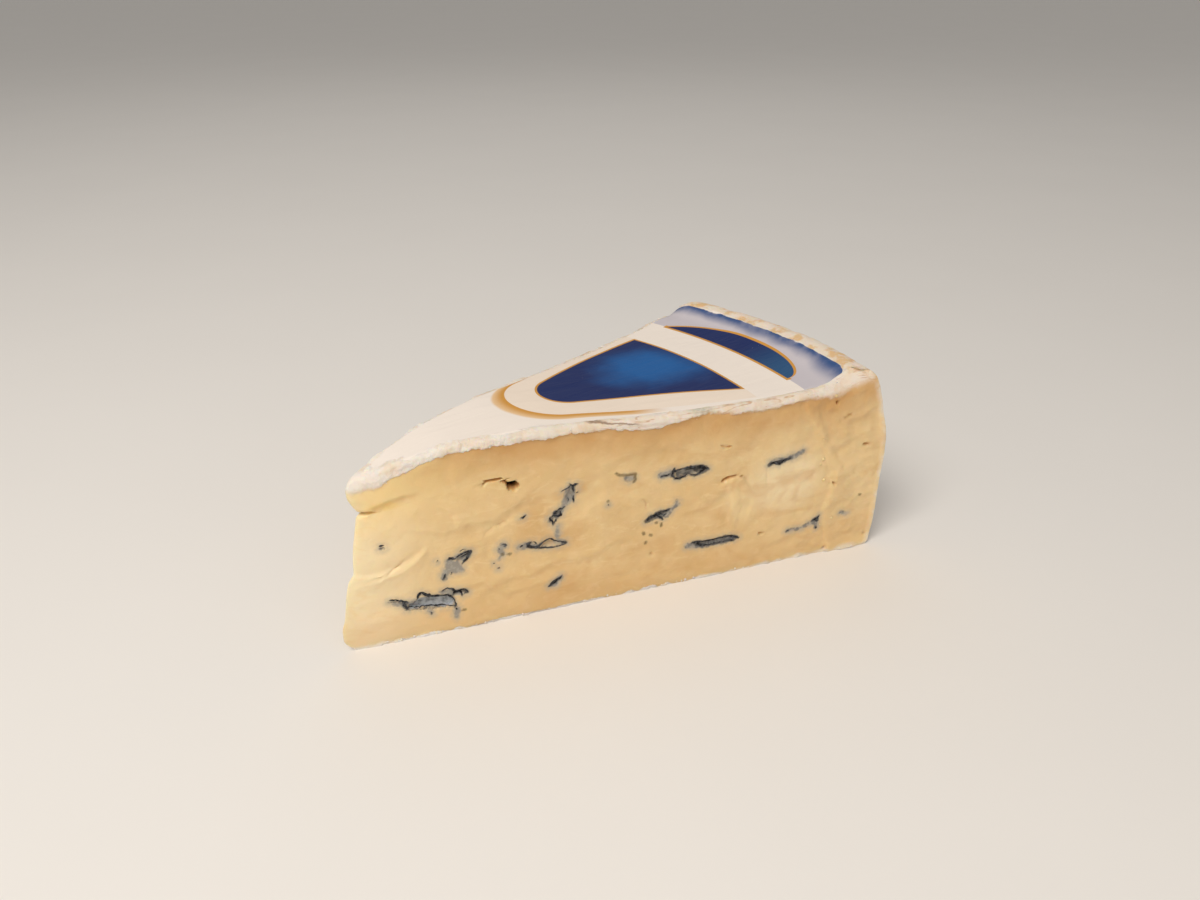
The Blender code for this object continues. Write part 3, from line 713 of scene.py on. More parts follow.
# Where the label's paper ends: (distance from the wheel's centre, gap to the near cut).
LABEL_NEAR_GAP = ((10, 0.8), (30, 0.8), (50, 1.1), (66, 1.9), (92, 1.8), (108, 1.8), (114, 1.2))
label_near_gap = curve_through(LABEL_NEAR_GAP)
LABEL_START = 9.5
LABEL_END = 116.4
LABEL_CORNER = 5.0  # radius of the outline's corner between the near cut and the rim
LABEL_FAR_GAP = 1.2
CREST_RADIUS = WHEEL_RADIUS - RIM_PROFILE[-1][1]


def edge_gaps(points):
    """Distances of points on the top from the near cut, the far cut and the rim's crest."""
    radius = distance(points)
    angle = angle_of(points)
    return (HALF_ANGLE + angle) * radius, (HALF_ANGLE - angle) * radius, CREST_RADIUS - radius


def label_cover(points):
    """How far inside the label's torn outline a point of the top lies. It is below 0 outside."""
    radius = distance(points)
    near_gap = edge_gaps(points)[0] - label_near_gap(radius)
    beside_near = LABEL_CORNER - np.minimum(near_gap, LABEL_CORNER)
    beside_end = LABEL_CORNER - np.minimum(LABEL_END - radius, LABEL_CORNER)
    inside = np.minimum(LABEL_CORNER - np.hypot(beside_near, beside_end), radius - LABEL_START)
    return inside + 0.45 * noise(points, 5.0, 61) + 0.25 * noise(points, 1.6, 62)


def calm_relief(points):
    """The gentle unevenness that the label follows."""
    return 0.16 * noise(points, (16.0, 12.0, 50.0), 51)


def top_fields(points):
    """The top rind is calm under the label and lumpy outside it, most of all beside the rim."""
    near_gap, far_gap, crest_gap = edge_gaps(points)
    radius = distance(points)
    bare = smooth_step(0.5 - label_cover(points) / 1.2)
    beside_rim = smooth_step((radius - 96.0) / 16.0)
    height = calm_relief(points)
    lumps = 0.16 + 0.10 * beside_rim + (0.5 + 0.4 * beside_rim) * mould_relief(points)
    height += bare * (lumps + 0.12 * noise(points, 2.2, 52))
    at_near = bell(near_gap, 1.6)
    at_far = bell(far_gap, 0.5)
    at_crest = bell(crest_gap, 1.5)
    height += at_far * (0.3 * lip_relief(points, far_gap) - height)
    height += at_near * (lip_relief(points, near_gap) - height) * (1.0 - at_far)
    height += at_crest * (rim_relief(points) - height) * (1.0 - np.maximum(at_near, at_far))
    beside_cut = smooth_step((radius - 45.0) / 20.0) * bell(near_gap, 2.6)
    browned = 0.15 * (radius > 45.0) + 0.4 * beside_cut + 1.1 * bell(crest_gap, 3.5)
    return rind_fields(height, near_gap, browned)


# ---- Meshes.
_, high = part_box("cheese")
WHEEL_CENTRE = np.array([high.x / MM - WHEEL_RADIUS, 0.0, 0.0])


class Shell:
    """A mesh in the making: points in the wheel's frame, and faces between them."""

    def __init__(self):
        self.points = []
        self.faces = []

    def add(self, grid):
        """Adds a grid of points and returns the grid of their numbers."""
        grid = np.array(grid, float)
        start = len(self.points)
        self.points.extend(grid.reshape(-1, 3))
        return start + np.arange(grid[..., 0].size).reshape(grid.shape[:-1])

    def face(self, corners):
        corners = list(dict.fromkeys(int(corner) for corner in corners))
        if len(corners) > 2:
            self.faces.append(corners)

    def strip(self, fine, coarse):
        """Faces between two lines. The first may have several steps to one of the second."""
        ratio = (len(fine) - 1) // (len(coarse) - 1)
        for k in range(len(coarse) - 1):
            self.face([*fine[k * ratio : (k + 1) * ratio + 1], coarse[k + 1], coarse[k]])

    def grid(self, lines):
        for line, next_line in zip(lines[:-1], lines[1:]):
            self.strip(line, next_line)

    def tube(self, rings):
        """Joins rings of points and closes both ends."""
        rings = [self.add(ring) for ring in rings]
        closed = [[*ring, ring[0]] for ring in rings]
        self.grid(closed)
        self.face(closed[0])
        self.face(closed[-1])


def to_frame(points):
    """Metres in the CAD frame, from millimetres in the wheel's frame."""
    return (np.asarray(points) + WHEEL_CENTRE) * MM


SHARP_ANGLE = math.radians(60.0)


def new_object(name, data):
    made = bpy.data.objects.new(name, data)
    bpy.context.scene.collection.objects.link(made)
    return made


def new_piece(name, shell, material):
    """An object from a shell, with its faces turned outwards."""
    mesh = bpy.data.meshes.new(name)
    mesh.from_pydata(to_frame(shell.points), [], shell.faces)
    shape = bmesh.new()
    shape.from_mesh(mesh)
    bmesh.ops.recalc_face_normals(shape, faces=shape.faces)
    shape.to_mesh(mesh)
    shape.free()
    mesh.shade_smooth()
    mesh.materials.append(material)
    return new_object(name, mesh)


def push_out(made, height, base_ids):
    """Moves each point of the cheese along its normal by a height, and keeps its base flat."""
    mesh = made.data
    place = np.empty(len(mesh.vertices) * 3, np.float32)
    normal = np.empty_like(place)
    mesh.vertices.foreach_get("co", place)
    mesh.vertex_normals.foreach_get("vector", normal)
    moved = place.reshape(-1, 3) + normal.reshape(-1, 3) * (height * MM)[:, None]
    moved[:, 2] = np.maximum(moved[:, 2], 0.0)
    moved[base_ids, 2] = 0.0
    mesh.vertices.foreach_set("co", moved.ravel().astype(np.float32))
    mesh.set_sharp_from_angle(angle=SHARP_ANGLE)
    mesh.update()


def set_field(made, name, values):
    layer = made.data.attributes.new(name, "FLOAT", "POINT")
    layer.data.foreach_set("value", np.asarray(values, np.float32))


def top_lines(shell, near_ids, rim_ids, near_edge, far_edge):
    """Lines of points across the top, each from the near edge to just short of the far edge.

    They have half the rim's steps up to the ring beside the rim, and all of them from there on.
    """
    even_shares = np.linspace(0.0, 1.0, RIM_STEPS // 2 + 1)
    coarse_shares = 0.45 * even_shares**2.2 + 0.55 * even_shares
    fine_shares = np.linspace(0.0, 1.0, RIM_STEPS + 1)
    first_fine = STATIONS - RIND_RING
    lines = [[near_ids[0, -1]] * (RIM_STEPS // 2)]
    for k in range(1, STATIONS):
        shares = coarse_shares
        if k >= first_fine:
            crowded = np.interp(fine_shares, even_shares, coarse_shares)
            evened = smooth_step((k - first_fine) / (0.6 * RIND_RING))
            shares = crowded + (fine_shares - crowded) * evened
        line = top_points(near_edge[k : k + 1], far_edge[k : k + 1], shares)[0]
        lines.append([near_ids[k, -1], *shell.add(line[1:-1])])
    lines.append([near_ids[-1, -1], *rim_ids[:, -1]])
    return lines


def close_top(shell, lines, far_top):
    """Faces of the top. Two lines meet each step of the far edge."""
    for line, next_line in zip(lines[:-1], lines[1:]):
        shell.strip(next_line[: 2 * len(line) - 1], line)
    for k in range(0, STATIONS, 2):
        corners = [lines[k][-1], lines[k + 1][-1]]
        if len(lines[k + 2]) > len(lines[k + 1]):
            corners.append(lines[k + 2][-2])
        shell.face([*corners, lines[k + 2][-1], far_top[k // 2 + 1], far_top[k // 2]])


def make_cheese(material):
    rows = row_shares()
    near = cut_side(rows, -1, STATIONS)
    far = cut_side(rows[::2], 1, STATIONS // 2)
    far_edge = cut_side(rows, 1, STATIONS)[:, -1]

    shell = Shell()
    near_ids = shell.add(near)
    rim_ids = shell.add(rim_side(rows))
    far_ids = shell.add(far[1:])
    shell.grid([*near_ids, *rim_ids])
    shell.strip(rim_ids[-1], far_ids[-1])
    shell.grid(far_ids[::-1])
    shell.strip(near_ids[0], far_ids[0])
    first_top = len(shell.points)
    lines = top_lines(shell, near_ids, rim_ids, near[:, -1], far_edge)
    close_top(shell, lines, [near_ids[0, -1], *far_ids[:, -1]])
    base_ids = np.concatenate([near_ids[:, 0], rim_ids[:, 0], far_ids[::-1, 0]])
    shell.face(base_ids)

    points = np.array(shell.points)
    regions = (
        (near_ids.ravel(), near_fields),
        (rim_ids.ravel(), rim_fields),
        (far_ids.ravel(), far_fields),
        (np.arange(first_top, len(points)), top_fields),
    )
    fields = {}
    for ids, fields_of in regions:
        for name, values in fields_of(points[ids]).items():
            fields.setdefault(name, np.zeros(len(points)))[ids] = values
    made = new_piece("cheese_wedge", shell, material)
    push_out(made, fields.pop("height"), base_ids)
    for name, values in fields.items():
        set_field(made, name, values)
    set_field(made, "radius", distance(points))
    faces = CutFace(made, near_ids, rows, near), CutFace(made, far_ids, rows[::2], far)
    return made, faces, (points, fields)


def piece_points(made):
    """Where the points of a piece lie, in millimetres in the wheel's frame."""
    place = np.empty(len(made.data.vertices) * 3, np.float32)
    made.data.vertices.foreach_get("co", place)
    return place.reshape(-1, 3) / MM - WHEEL_CENTRE


class CutFace:
    """The finished surface of one cut, for laying things on it at (distance, height)."""

    def __init__(self, made, ids, rows, flat):
        self.points = piece_points(made)[ids]
        self.radius = distance(flat)
        self.rows = rows
        side = 1.0 if flat[-1, 0, 1] > 0 else -1.0
        self.outward = np.array([-math.sin(HALF_ANGLE), side * math.cos(HALF_ANGLE), 0.0])
        self.along = np.array([math.cos(HALF_ANGLE), side * math.sin(HALF_ANGLE), 0.0])

    def at(self, along, height):
        row = np.interp(height / crown_height(along), self.rows, np.arange(len(self.rows)))
        low_row = min(int(row), len(self.rows) - 2)
        steps = np.arange(len(self.radius))
        column = np.interp(along, self.radius[:, low_row], steps)
        low_column = min(int(column), len(steps) - 2)
        corners = self.points[low_column : low_column + 2, low_row : low_row + 2]
        line = corners[0] + (corners[1] - corners[0]) * (column - low_column)
        return line[0] + (line[1] - line[0]) * (row - low_row)


THREAD_STEP = 0.35
THREAD_SIDES = 6
THREAD_RISE = 0.2  # half the thickness of a thread


def wandering_stroke(stroke, pick):
    """Places and half widths along a stroke, at even steps and with an uneven course."""
    points = np.array(stroke, float)
    gaps = np.linalg.norm(np.diff(points[:, :2], axis=0), axis=1)
    length = np.concatenate([[0.0], np.cumsum(gaps)])
    steps = max(3, int(length[-1] / THREAD_STEP))
    along = np.linspace(0.0, length[-1], steps + 1)
    course = np.stack([np.interp(along, length, points[:, k]) for k in range(3)], axis=1)
    for k in range(1, steps):
        course[k, 0] += pick.uniform(-0.09, 0.09)
        course[k, 1] += pick.uniform(-0.09, 0.09)
        course[k, 2] *= pick.uniform(0.6, 1.35)
    course[0, 2] *= 0.3
    course[-1, 2] *= 0.3
    return course


def add_thread(shell, face, stroke, pick):
    """A flattened tube of mould along a stroke, half sunk in the cut."""
    course = wandering_stroke(stroke, pick)
    rings = []
    for k, (along, height, half_width) in enumerate(course):
        way = course[min(k + 1, len(course) - 1), :2] - course[max(k - 1, 0), :2]
        way = way / max(np.linalg.norm(way), 1e-6)
        aside = -way[1] * face.along + way[0] * np.array([0.0, 0.0, 1.0])
        centre = face.at(along, height)
        rise = min(THREAD_RISE, 0.7 * half_width)
        ring = []
        for step in range(THREAD_SIDES):
            turn = 2.0 * math.pi * step / THREAD_SIDES
            sideways = math.cos(turn) * half_width * aside
            ring.append(centre + sideways + math.sin(turn) * rise * face.outward)
        rings.append(ring)
    shell.tube(rings)


def make_threads(faces, material):
    """The dark threads of the veins on both cuts."""
    pick = random.Random(5)
    shell = Shell()
    for face, strokes in zip(faces, (NEAR_THREADS, FAR_THREADS)):
        for stroke in strokes:
            add_thread(shell, face, stroke, pick)
    return new_piece("vein_threads", shell, material)


def add_crumb(shell, centre, size, pick):
    """A small lump with five rings of six points, pulled about at random."""
    stretch = [size * pick.uniform(0.7, 1.3) for _ in range(3)]
    turn = pick.uniform(0.0, 2.0 * math.pi)
    rings = []
    for level in range(5):
        tilt = math.pi * (level + 0.35) / 4.7
        ring = []
        for step in range(6):
            around = turn + 2.0 * math.pi * step / 6
            wide, high_up = math.sin(tilt), math.cos(tilt)
            way = (wide * math.cos(around), wide * math.sin(around), high_up)
            swell = pick.uniform(0.8, 1.15)
            ring.append([centre[k] + swell * stretch[k] * way[k] for k in range(3)])
        rings.append(ring)
    shell.tube(rings)


def scatter(name, places, chance, sizes, material, seed):
    """Crumbs at a random choice of places, each of which has its own chance."""
    pick = random.Random(seed)
    shell = Shell()
    for place, share in zip(places, chance):
        if pick.random() < share:
            size = pick.uniform(*sizes)
            add_crumb(shell, (place[0], place[1], max(place[2], 1.4 * size)), size, pick)
    return new_piece(name, shell, material)


def crumb_chances(points, fields):
    """Chance of a crumb at each point of the cheese, for crumbs of rind and of paste."""
    radius = distance(points)
    on_cut = np.abs(fields["below_lip"]) < 0.98 * DEEP
    at_lip = np.abs(fields["below_lip"]) < 0.8
    at_base = on_cut & (points[:, 2] < 0.7) & (radius > 6.0)
    near_side = edge_gaps(points)[0] < 0.3
    ridge = bell(radius - 110.5 - 0.08 * points[:, 2], 3.0)
    return 0.003 * at_lip + 0.05 * at_base, 0.006 * on_cut * near_side * ridge


LABEL_LIFT = 0.12  # of the paper's top above the rind
PAPER = 0.1


def make_label(material):
    """The printed paper, a thin closed film that dives under the mould at its torn edges."""
    radius = np.linspace(LABEL_START - 1.0, LABEL_END + 1.2, LABEL_STATIONS + 1)[:, None]
    start_gap = np.maximum(label_near_gap(radius) - 1.3, edge_radius(radius) - 1.0)
    start = start_gap / radius - HALF_ANGLE
    end = HALF_ANGLE - LABEL_FAR_GAP / radius
    angle = start + (end - start) * np.linspace(0.0, 1.0, LABEL_COLUMNS + 1)[None, :]
    height = top_height(radius, angle)
    flat = at_angle(radius, angle, height)
    points = flat.reshape(-1, 3)
    tucked = smooth_step(0.3 - label_cover(points) / 1.0)
    edge = edge_radius(distance(points))
    lift = calm_relief(points) + LABEL_LIFT - 0.5 * edge / EDGE_RADIUS * tucked
    for gap in edge_gaps(points)[:2]:
        rolled = np.clip(1.0 - gap / edge, 0.0, 1.0)
        lift -= edge * (1.0 - np.sqrt(1.0 - rolled**2))
    sheets = []
    shell = Shell()
    for extra in (0.0, -PAPER):
        points[:, 2] = height.ravel() + lift + extra
        sheets.append(shell.add(points.reshape(flat.shape)))
        shell.grid(sheets[-1])
    upper, lower = [
        np.concatenate([sheet[:, 0], sheet[-1, 1:], sheet[-2::-1, -1], sheet[0, -2::-1]])
        for sheet in sheets
    ]
    shell.strip(lower, upper)
    made = new_piece("label_paper", shell, material)
    made.data.set_sharp_from_angle(angle=SHARP_ANGLE)
    return made


# ---- Materials.
def colour(red, green, blue):
    """A colour of 8-bit sRGB values as the linear values that a shader takes."""
    linear = []
    for value in (red, green, blue):
        share = value / 255.0
        linear.append(share / 12.92 if share <= 0.04045 else ((share + 0.055) / 1.055) ** 2.4)
    return (*linear, 1.0)


def arithmetic(operation, turned=False):
    """A method that adds a node for an operation. If turned, the other value comes first."""

    def method(self, other):
        values = (other, self) if turned else (self, other)
        return self.graph.math(operation, *values)

    return method


class Value:
    """An output of a node. Arithmetic with it adds nodes to its graph."""

    def __init__(self, graph, socket):
        self.graph = graph
        self.socket = socket

    __add__ = arithmetic("ADD")
    __radd__ = arithmetic("ADD", turned=True)
    __sub__ = arithmetic("SUBTRACT")
    __rsub__ = arithmetic("SUBTRACT", turned=True)
    __mul__ = arithmetic("MULTIPLY")
    __rmul__ = arithmetic("MULTIPLY", turned=True)
    __truediv__ = arithmetic("DIVIDE")
    __pow__ = arithmetic("POWER")

    def __abs__(self):
        return self.graph.math("ABSOLUTE", self)


class Graph:
    """The nodes of one material. Each call adds a node and returns its output."""

    def __init__(self, name):
        self.material = bpy.data.materials.new(name)
        self.material.use_nodes = True
        self.tree = self.material.node_tree
        self.shader = self.tree.nodes["Principled BSDF"]
        self.where = self.node("ShaderNodeTexCoord", {}, "Object")  # in the CAD frame, in metres

    def put(self, socket, value):
        """Links a value to an input, or sets the input itself to a number, point or colour."""
        if isinstance(value, Value):
            self.tree.links.new(value.socket, socket)
        else:
            socket.default_value = value

    def node(self, kind, values, output=0, **settings):
        made = self.tree.nodes.new(kind)
        for name, setting in settings.items():
            setattr(made, name, setting)
        for key, value in values.items():
            self.put(made.inputs[key], value)
        return Value(self, made.outputs[output])

    def math(self, operation, *values, clamp=False):
        values = dict(enumerate(values))
        return self.node("ShaderNodeMath", values, operation=operation, use_clamp=clamp)

    def least(self, first, second):
        return self.math("MINIMUM", first, second)

    def most(self, first, second):
        return self.math("MAXIMUM", first, second)

    def length(self, first, second):
        """The length of two steps at right angles."""
        return self.math("SQRT", first * first + second * second)

    def fade(self, value, start, end, low=0.0, high=1.0):
        """low up to the start, high past the end, and smooth in between."""
        if start > end:
            start, end, low, high = end, start, high, low
        values = {0: value, 1: start, 2: end, 3: low, 4: high}
        return self.node("ShaderNodeMapRange", values, interpolation_type="SMOOTHSTEP", clamp=True)

    def field(self, name):
        return self.node("ShaderNodeAttribute", {}, "Fac", attribute_name=name)

    def axes(self):
        """The coordinates of the point, in millimetres."""
        parts = self.node("ShaderNodeSeparateXYZ", {0: self.where}).socket.node.outputs
        return [Value(self, part) * (1.0 / MM) for part in parts]

    def stretched(self, x, y, z):
        """The point with each axis scaled, for noise with long lumps."""
        return self.node("ShaderNodeMapping", {"Vector": self.where, "Scale": (x, y, z)})

    def noise(self, lump, where=None, detail=3.0, roughness=0.5, distortion=0.0):
        """Noise from 0 to 1 whose lumps are about this many millimetres across."""
        values = {
            "Vector": where or self.where,
            "Scale": 1.0 / (lump * MM),
            "Detail": detail,
            "Roughness": roughness,
            "Distortion": distortion,
        }
        return self.node("ShaderNodeTexNoise", values, "Fac")

    def spot(self, x, y, centre, reach, most=1.0):
        """A soft oval patch: its greatest share at the centre, and 0 at its reach."""
        away = self.length((x - centre[0]) / reach[0], (y - centre[1]) / reach[1])
        return self.fade(away, 1.0, 0.3, 0.0, most)

    def mix(self, share, first, second):
        return self.node("ShaderNodeMix", {0: share, 6: first, 7: second}, 2, data_type="RGBA")

    def layers(self, looks, *coats):
        """A colour under coats of others, each given as (its share, its colour)."""
        for share, coat in coats:
            looks = self.mix(share, looks, coat)
        return looks

    def bump(self, height, depth, below=None):
        """A bump whose height runs over this many millimetres."""
        values = {"Height": height, "Distance": depth * MM, "Strength": 1.0}
        if below is not None:
            values["Normal"] = below
        return self.node("ShaderNodeBump", values, "Normal")

    def finish(self, **values):
        """Sets or links the shader's sockets."""
        for name, value in values.items():
            self.put(self.shader.inputs[name.replace("_", " ")], value)
        return self.material


PASTE = colour(230, 196, 141)
PASTE_LIGHT = colour(244, 216, 165)
PASTE_YELLOW = colour(246, 212, 140)
PASTE_TAN = colour(210, 160, 98)
# Painted shade for the bottom of the deepest pits.
PASTE_PIT_SHADE = colour(36, 22, 10)
PASTE_PALE = colour(250, 230, 190)
VEIN_HALO = colour(190, 178, 158)
VEIN_GREY = colour(112, 116, 120)
VEIN_PALE = colour(166, 162, 154)
VEIN_SLATE = colour(176, 180, 184)
VEIN_DARK = colour(72, 73, 76)
VEIN_OLIVE = colour(118, 98, 58)
MOULD = colour(244, 233, 223)
MOULD_WHITE = colour(252, 243, 234)
MOULD_CREAM = colour(240, 221, 197)
MOULD_BROWNED = colour(230, 192, 144)
MOULD_CREASE = colour(204, 164, 124)
MOULD_SHADE = colour(128, 92, 62)
MOULD_GREEN = colour(168, 170, 150)

# Soft patches of the paste: centre as (distance, height), reach, share, colour.
PASTE_SPOTS = (
    ((90.0, 18.5), (7.0, 7.5), 0.85, PASTE_LIGHT),
    ((101.0, 22.0), (12.0, 11.0), 0.75, PASTE_PALE),
    ((41.5, 25.0), (5.0, 7.0), 0.35, PASTE_TAN),
)
PASTE_SPOTS_BELOW_LIP = (
    ((10.5, 32.8), (4.5, 1.6), 0.9, PASTE_YELLOW),
    ((114.0, 36.0), (9.0, 8.0), 0.3, PASTE_TAN),
)
# Patches of the mould: centre as (distance, way in from the top's edge), and reach.
GREEN_PATCH = ((79.0, 0.2), (4.0, 1.2))
BROWNED_PATCHES = (((22.0, 1.3), (2.2, 1.1)), ((31.5, 1.4), (4.2, 1.3)))

# Painted shade along the crease in the near lip.
LIP_CREASE_START = 54.3  # distance from the wheel's centre
LIP_CREASE_END = 63.0
LIP_CREASE_DROP = 0.1  # below the top's edge where it starts
LIP_CREASE_SLOPE = 0.075

LIGHT_SPREAD = (1.0, 0.55, 0.25)  # of red, green and blue light inside the cheese


def cheese_graph():
    """A graph with the fields of the cheese's mesh and the noise that its colours share."""
    g = Graph("cheese")
    g.radius = g.field("radius")
    g.across = g.field("across")
    _, y, g.height = g.axes()
    g.near_side = g.fade(y, 0.0, -1.0)
    # Share of painted shade in the deepest pits, which also stops light passing through the paste
    # there.
    g.hollow = g.fade(g.field("sunk"), 1.3, 3.0)
    g.fine = g.noise(0.35, detail=4.0)
    g.medium = g.noise(1.1)
    g.wide = g.noise(7.0)
    return g


def by_radius(g, start, end, low=0.0, high=1.0):
    return g.fade(g.radius, start, end, low, high)


def ragged(g, name, noise, depth):
    """A field of the mesh, made uneven by noise."""
    return g.field(name) + (noise - 0.5) * depth


def spots(g, looks, table):
    for centre, reach, share, coat in table:
        looks = g.mix(g.spot(g.radius, g.height, centre, reach, share), looks, coat)
    return looks


def paste_looks(g):
    """Paler at both ends, partly as painted light, yellower under the nose's lip and tanned under
    the rest of it, with painted shade in the pits.
    """
    below_lip = g.field("below_lip")
    # Partly painted light: the paste is made paler at both ends, where more light falls on the cut.
    ends = g.most(by_radius(g, 34.0, 8.0, 0.0, 0.75), by_radius(g, 78.0, 108.0, 0.0, 0.4))
    smears = g.noise(3.0, g.stretched(0.7, 0.7, 1.6), detail=4.0, distortion=1.2)
    clouds = g.noise(11.0, g.stretched(1.0, 1.0, 1.5), distortion=0.8)
    clouds = g.fade(clouds, 0.48, 0.7, 0.0, 0.35) * by_radius(g, 28.0, 48.0)
    yellowed = g.fade(below_lip, 16.0, 1.0) * by_radius(g, 42.0, 8.0, 0.0, 0.6)
    tanned = g.fade(below_lip, 9.0, 0.0) * by_radius(g, 10.0, 34.0)
    looks = g.layers(
        PASTE,
        (g.fade(g.wide, 0.32, 0.68, 0.0, 0.45), PASTE_LIGHT),
        (ends, PASTE_LIGHT),
        # Partly painted light: paler still towards the thin nose, for the light that glows through
        # it.
        (by_radius(g, 22.0, 3.0, 0.0, 0.9), PASTE_PALE),
    )
    looks = g.layers(
        spots(g, looks, PASTE_SPOTS),
        (g.fade(smears, 0.5, 0.72, 0.0, 0.5), PASTE_LIGHT),
        (clouds, PASTE_TAN),
        (g.fade(g.height, 13.0, 2.0, 0.0, 0.25), PASTE_TAN),
        (yellowed * by_radius(g, 2.0, 9.0, 0.2, 1.0), PASTE_YELLOW),
        (tanned * g.fade(g.wide, 0.25, 0.7, 0.5, 0.95), PASTE_TAN),
    )
    return g.layers(
        spots(g, looks, PASTE_SPOTS_BELOW_LIP),
        # Painted shade in the pits and slits: the paste turns tan where they sink in.
        (g.fade(g.field("sunk"), 0.15, 0.9, 0.0, 0.7), PASTE_TAN),
        # Painted shade: the deepest pits turn nearly black.
        (g.hollow, PASTE_PIT_SHADE),
    )


def vein_looks(g, paste):
    """A soft halo, mottled grey-blue mould, slate floors and the stain of the threads."""
    nearest = g.least(g.field("dark"), g.field("grey"))
    halo = g.fade(nearest, 1.7, -0.1) * g.fade(g.medium, 0.3, 0.65, 0.2, 0.7)
    pale = g.most(g.fade(g.medium, 0.38, 0.6), by_radius(g, 62.0, 54.0, 0.0, 0.55))
    pale_slate = g.fade(g.medium, 0.25, 0.55)
    grey = ragged(g, "grey", g.medium, 1.7)
    slate = ragged(g, "slate", g.fine, 0.3)
    dark = ragged(g, "dark", g.fine, 0.5) - by_radius(g, 54.0, 64.0, 0.0, 0.14)
    olive = ragged(g, "olive", g.fine, 0.3)
    return g.layers(
        paste,
        (halo, VEIN_HALO),
        (g.fade(grey, 0.4, -0.35, 0.0, 0.85), g.mix(pale, VEIN_GREY, VEIN_PALE)),
        (g.fade(slate, 0.25, -0.05), g.mix(pale_slate, VEIN_GREY, VEIN_SLATE)),
        (g.fade(dark, 0.22, -0.2, 0.0, 0.85), VEIN_DARK),
        (g.fade(olive, 0.45, -0.05, 0.0, 0.85), VEIN_OLIVE),
    )


def rind_share(g):
    """Share of the rind. Its edge is sharp in the middle of a cut and soft at both ends."""
    softness = g.most(by_radius(g, 70.0, 96.0, 0.12, 0.65), by_radius(g, 13.0, 6.0, 0.12, 0.9))
    softness = g.most(softness, by_radius(g, 102.0, 114.0, 0.12, 1.1))
    return g.fade(ragged(g, "rind", g.fine, 0.6) / softness, -1.0, 1.0)


def crease_lines(g):
    """Thin lines along the edge of the top rind."""
    edgewise = g.node("ShaderNodeCombineXYZ", {0: g.radius / 12.0, 1: g.across / 0.8})
    streaks = g.noise(1000.0, edgewise, detail=2.0)
    lines = g.fade(abs(streaks - 0.5), 0.022, 0.004) * g.fade(abs(g.across), 3.8, 2.0)
    return lines * g.fade(g.noise(5.0), 0.45, 0.6) * by_radius(g, 26.0, 52.0, 0.0, 0.7)


def lip_crease_shade(g):
    # Painted shade: a dark line where the near lip folds over.
    drop = LIP_CREASE_DROP + (g.radius - LIP_CREASE_START) * LIP_CREASE_SLOPE
    gap = abs(g.across + drop + (g.medium - 0.5) * 0.5)
    started = by_radius(g, LIP_CREASE_START - 2.0, LIP_CREASE_START)
    line = g.fade(gap, 0.22, 0.04) * started
    return line * by_radius(g, LIP_CREASE_END + 2.0, LIP_CREASE_END, 0.0, 0.7)


def mould_looks(g):
    """White mould, creamier and browned in patches along its edges."""
    browned = g.field("browned")
    creamy = g.fade(g.noise(4.0), 0.42, 0.68) * by_radius(g, 25.0, 55.0, 0.1, 0.6)
    patches = g.fade(g.noise(4.5, detail=5.0, roughness=0.6), 0.46, 0.62)
    green = g.spot(g.radius, g.across, *GREEN_PATCH) * g.fine
    looks = g.layers(
        g.mix(by_radius(g, 50.0, 25.0), MOULD, MOULD_WHITE),
        (creamy, MOULD_CREAM),
        (browned * 0.55, MOULD_CREAM),
        (g.math("MULTIPLY", patches, browned, clamp=True), MOULD_BROWNED),
        (crease_lines(g), MOULD_CREASE),
        (green * g.near_side, MOULD_GREEN),
        # Painted shade in the near lip's crease.
        (lip_crease_shade(g) * g.near_side, MOULD_SHADE),
    )
    for centre, reach in BROWNED_PATCHES:
        patch = g.spot(g.radius, g.across, centre, reach)
        looks = g.mix(patch * g.fade(g.medium, 0.35, 0.55), looks, MOULD_BROWNED)
    return looks


def cheese_material():
    g = cheese_graph()
    rind = rind_share(g)
    relief = g.bump((g.noise(0.28, detail=5.0, roughness=0.65) + g.medium) * rind, 0.22)
    return g.finish(
        Base_Color=g.mix(rind, vein_looks(g, paste_looks(g)), mould_looks(g)),
        Roughness=0.38 + rind * 0.5 + g.wide * 0.1,
        Normal=g.bump(g.noise(0.9, detail=4.0, roughness=0.6), 0.06, relief),
        Subsurface_Weight=(1.0 - g.hollow) * 0.3,
        Subsurface_Radius=LIGHT_SPREAD,
        Subsurface_Scale=0.0035,
        IOR=1.4,
    )


def vein_material():
    """Blue-black mould with a greyer bloom."""
    g = Graph("vein_mould")
    bloom = g.fade(g.noise(0.8, detail=4.0, roughness=0.6), 0.4, 0.66)
    return g.finish(
        Base_Color=g.mix(bloom, colour(34, 32, 33), colour(88, 90, 92)),
        Roughness=0.85,
        Normal=g.bump(g.noise(0.2), 0.04),
        Specular_IOR_Level=0.25,
    )


def crumb_material(name, light, dark):
    g = Graph(name)
    return g.finish(
        Base_Color=g.mix(g.noise(3.0), dark, light),
        Roughness=0.7,
        Normal=g.bump(g.noise(0.25, detail=4.0), 0.05),
        Subsurface_Weight=0.3,
        Subsurface_Radius=LIGHT_SPREAD,
        Subsurface_Scale=0.002,
    )


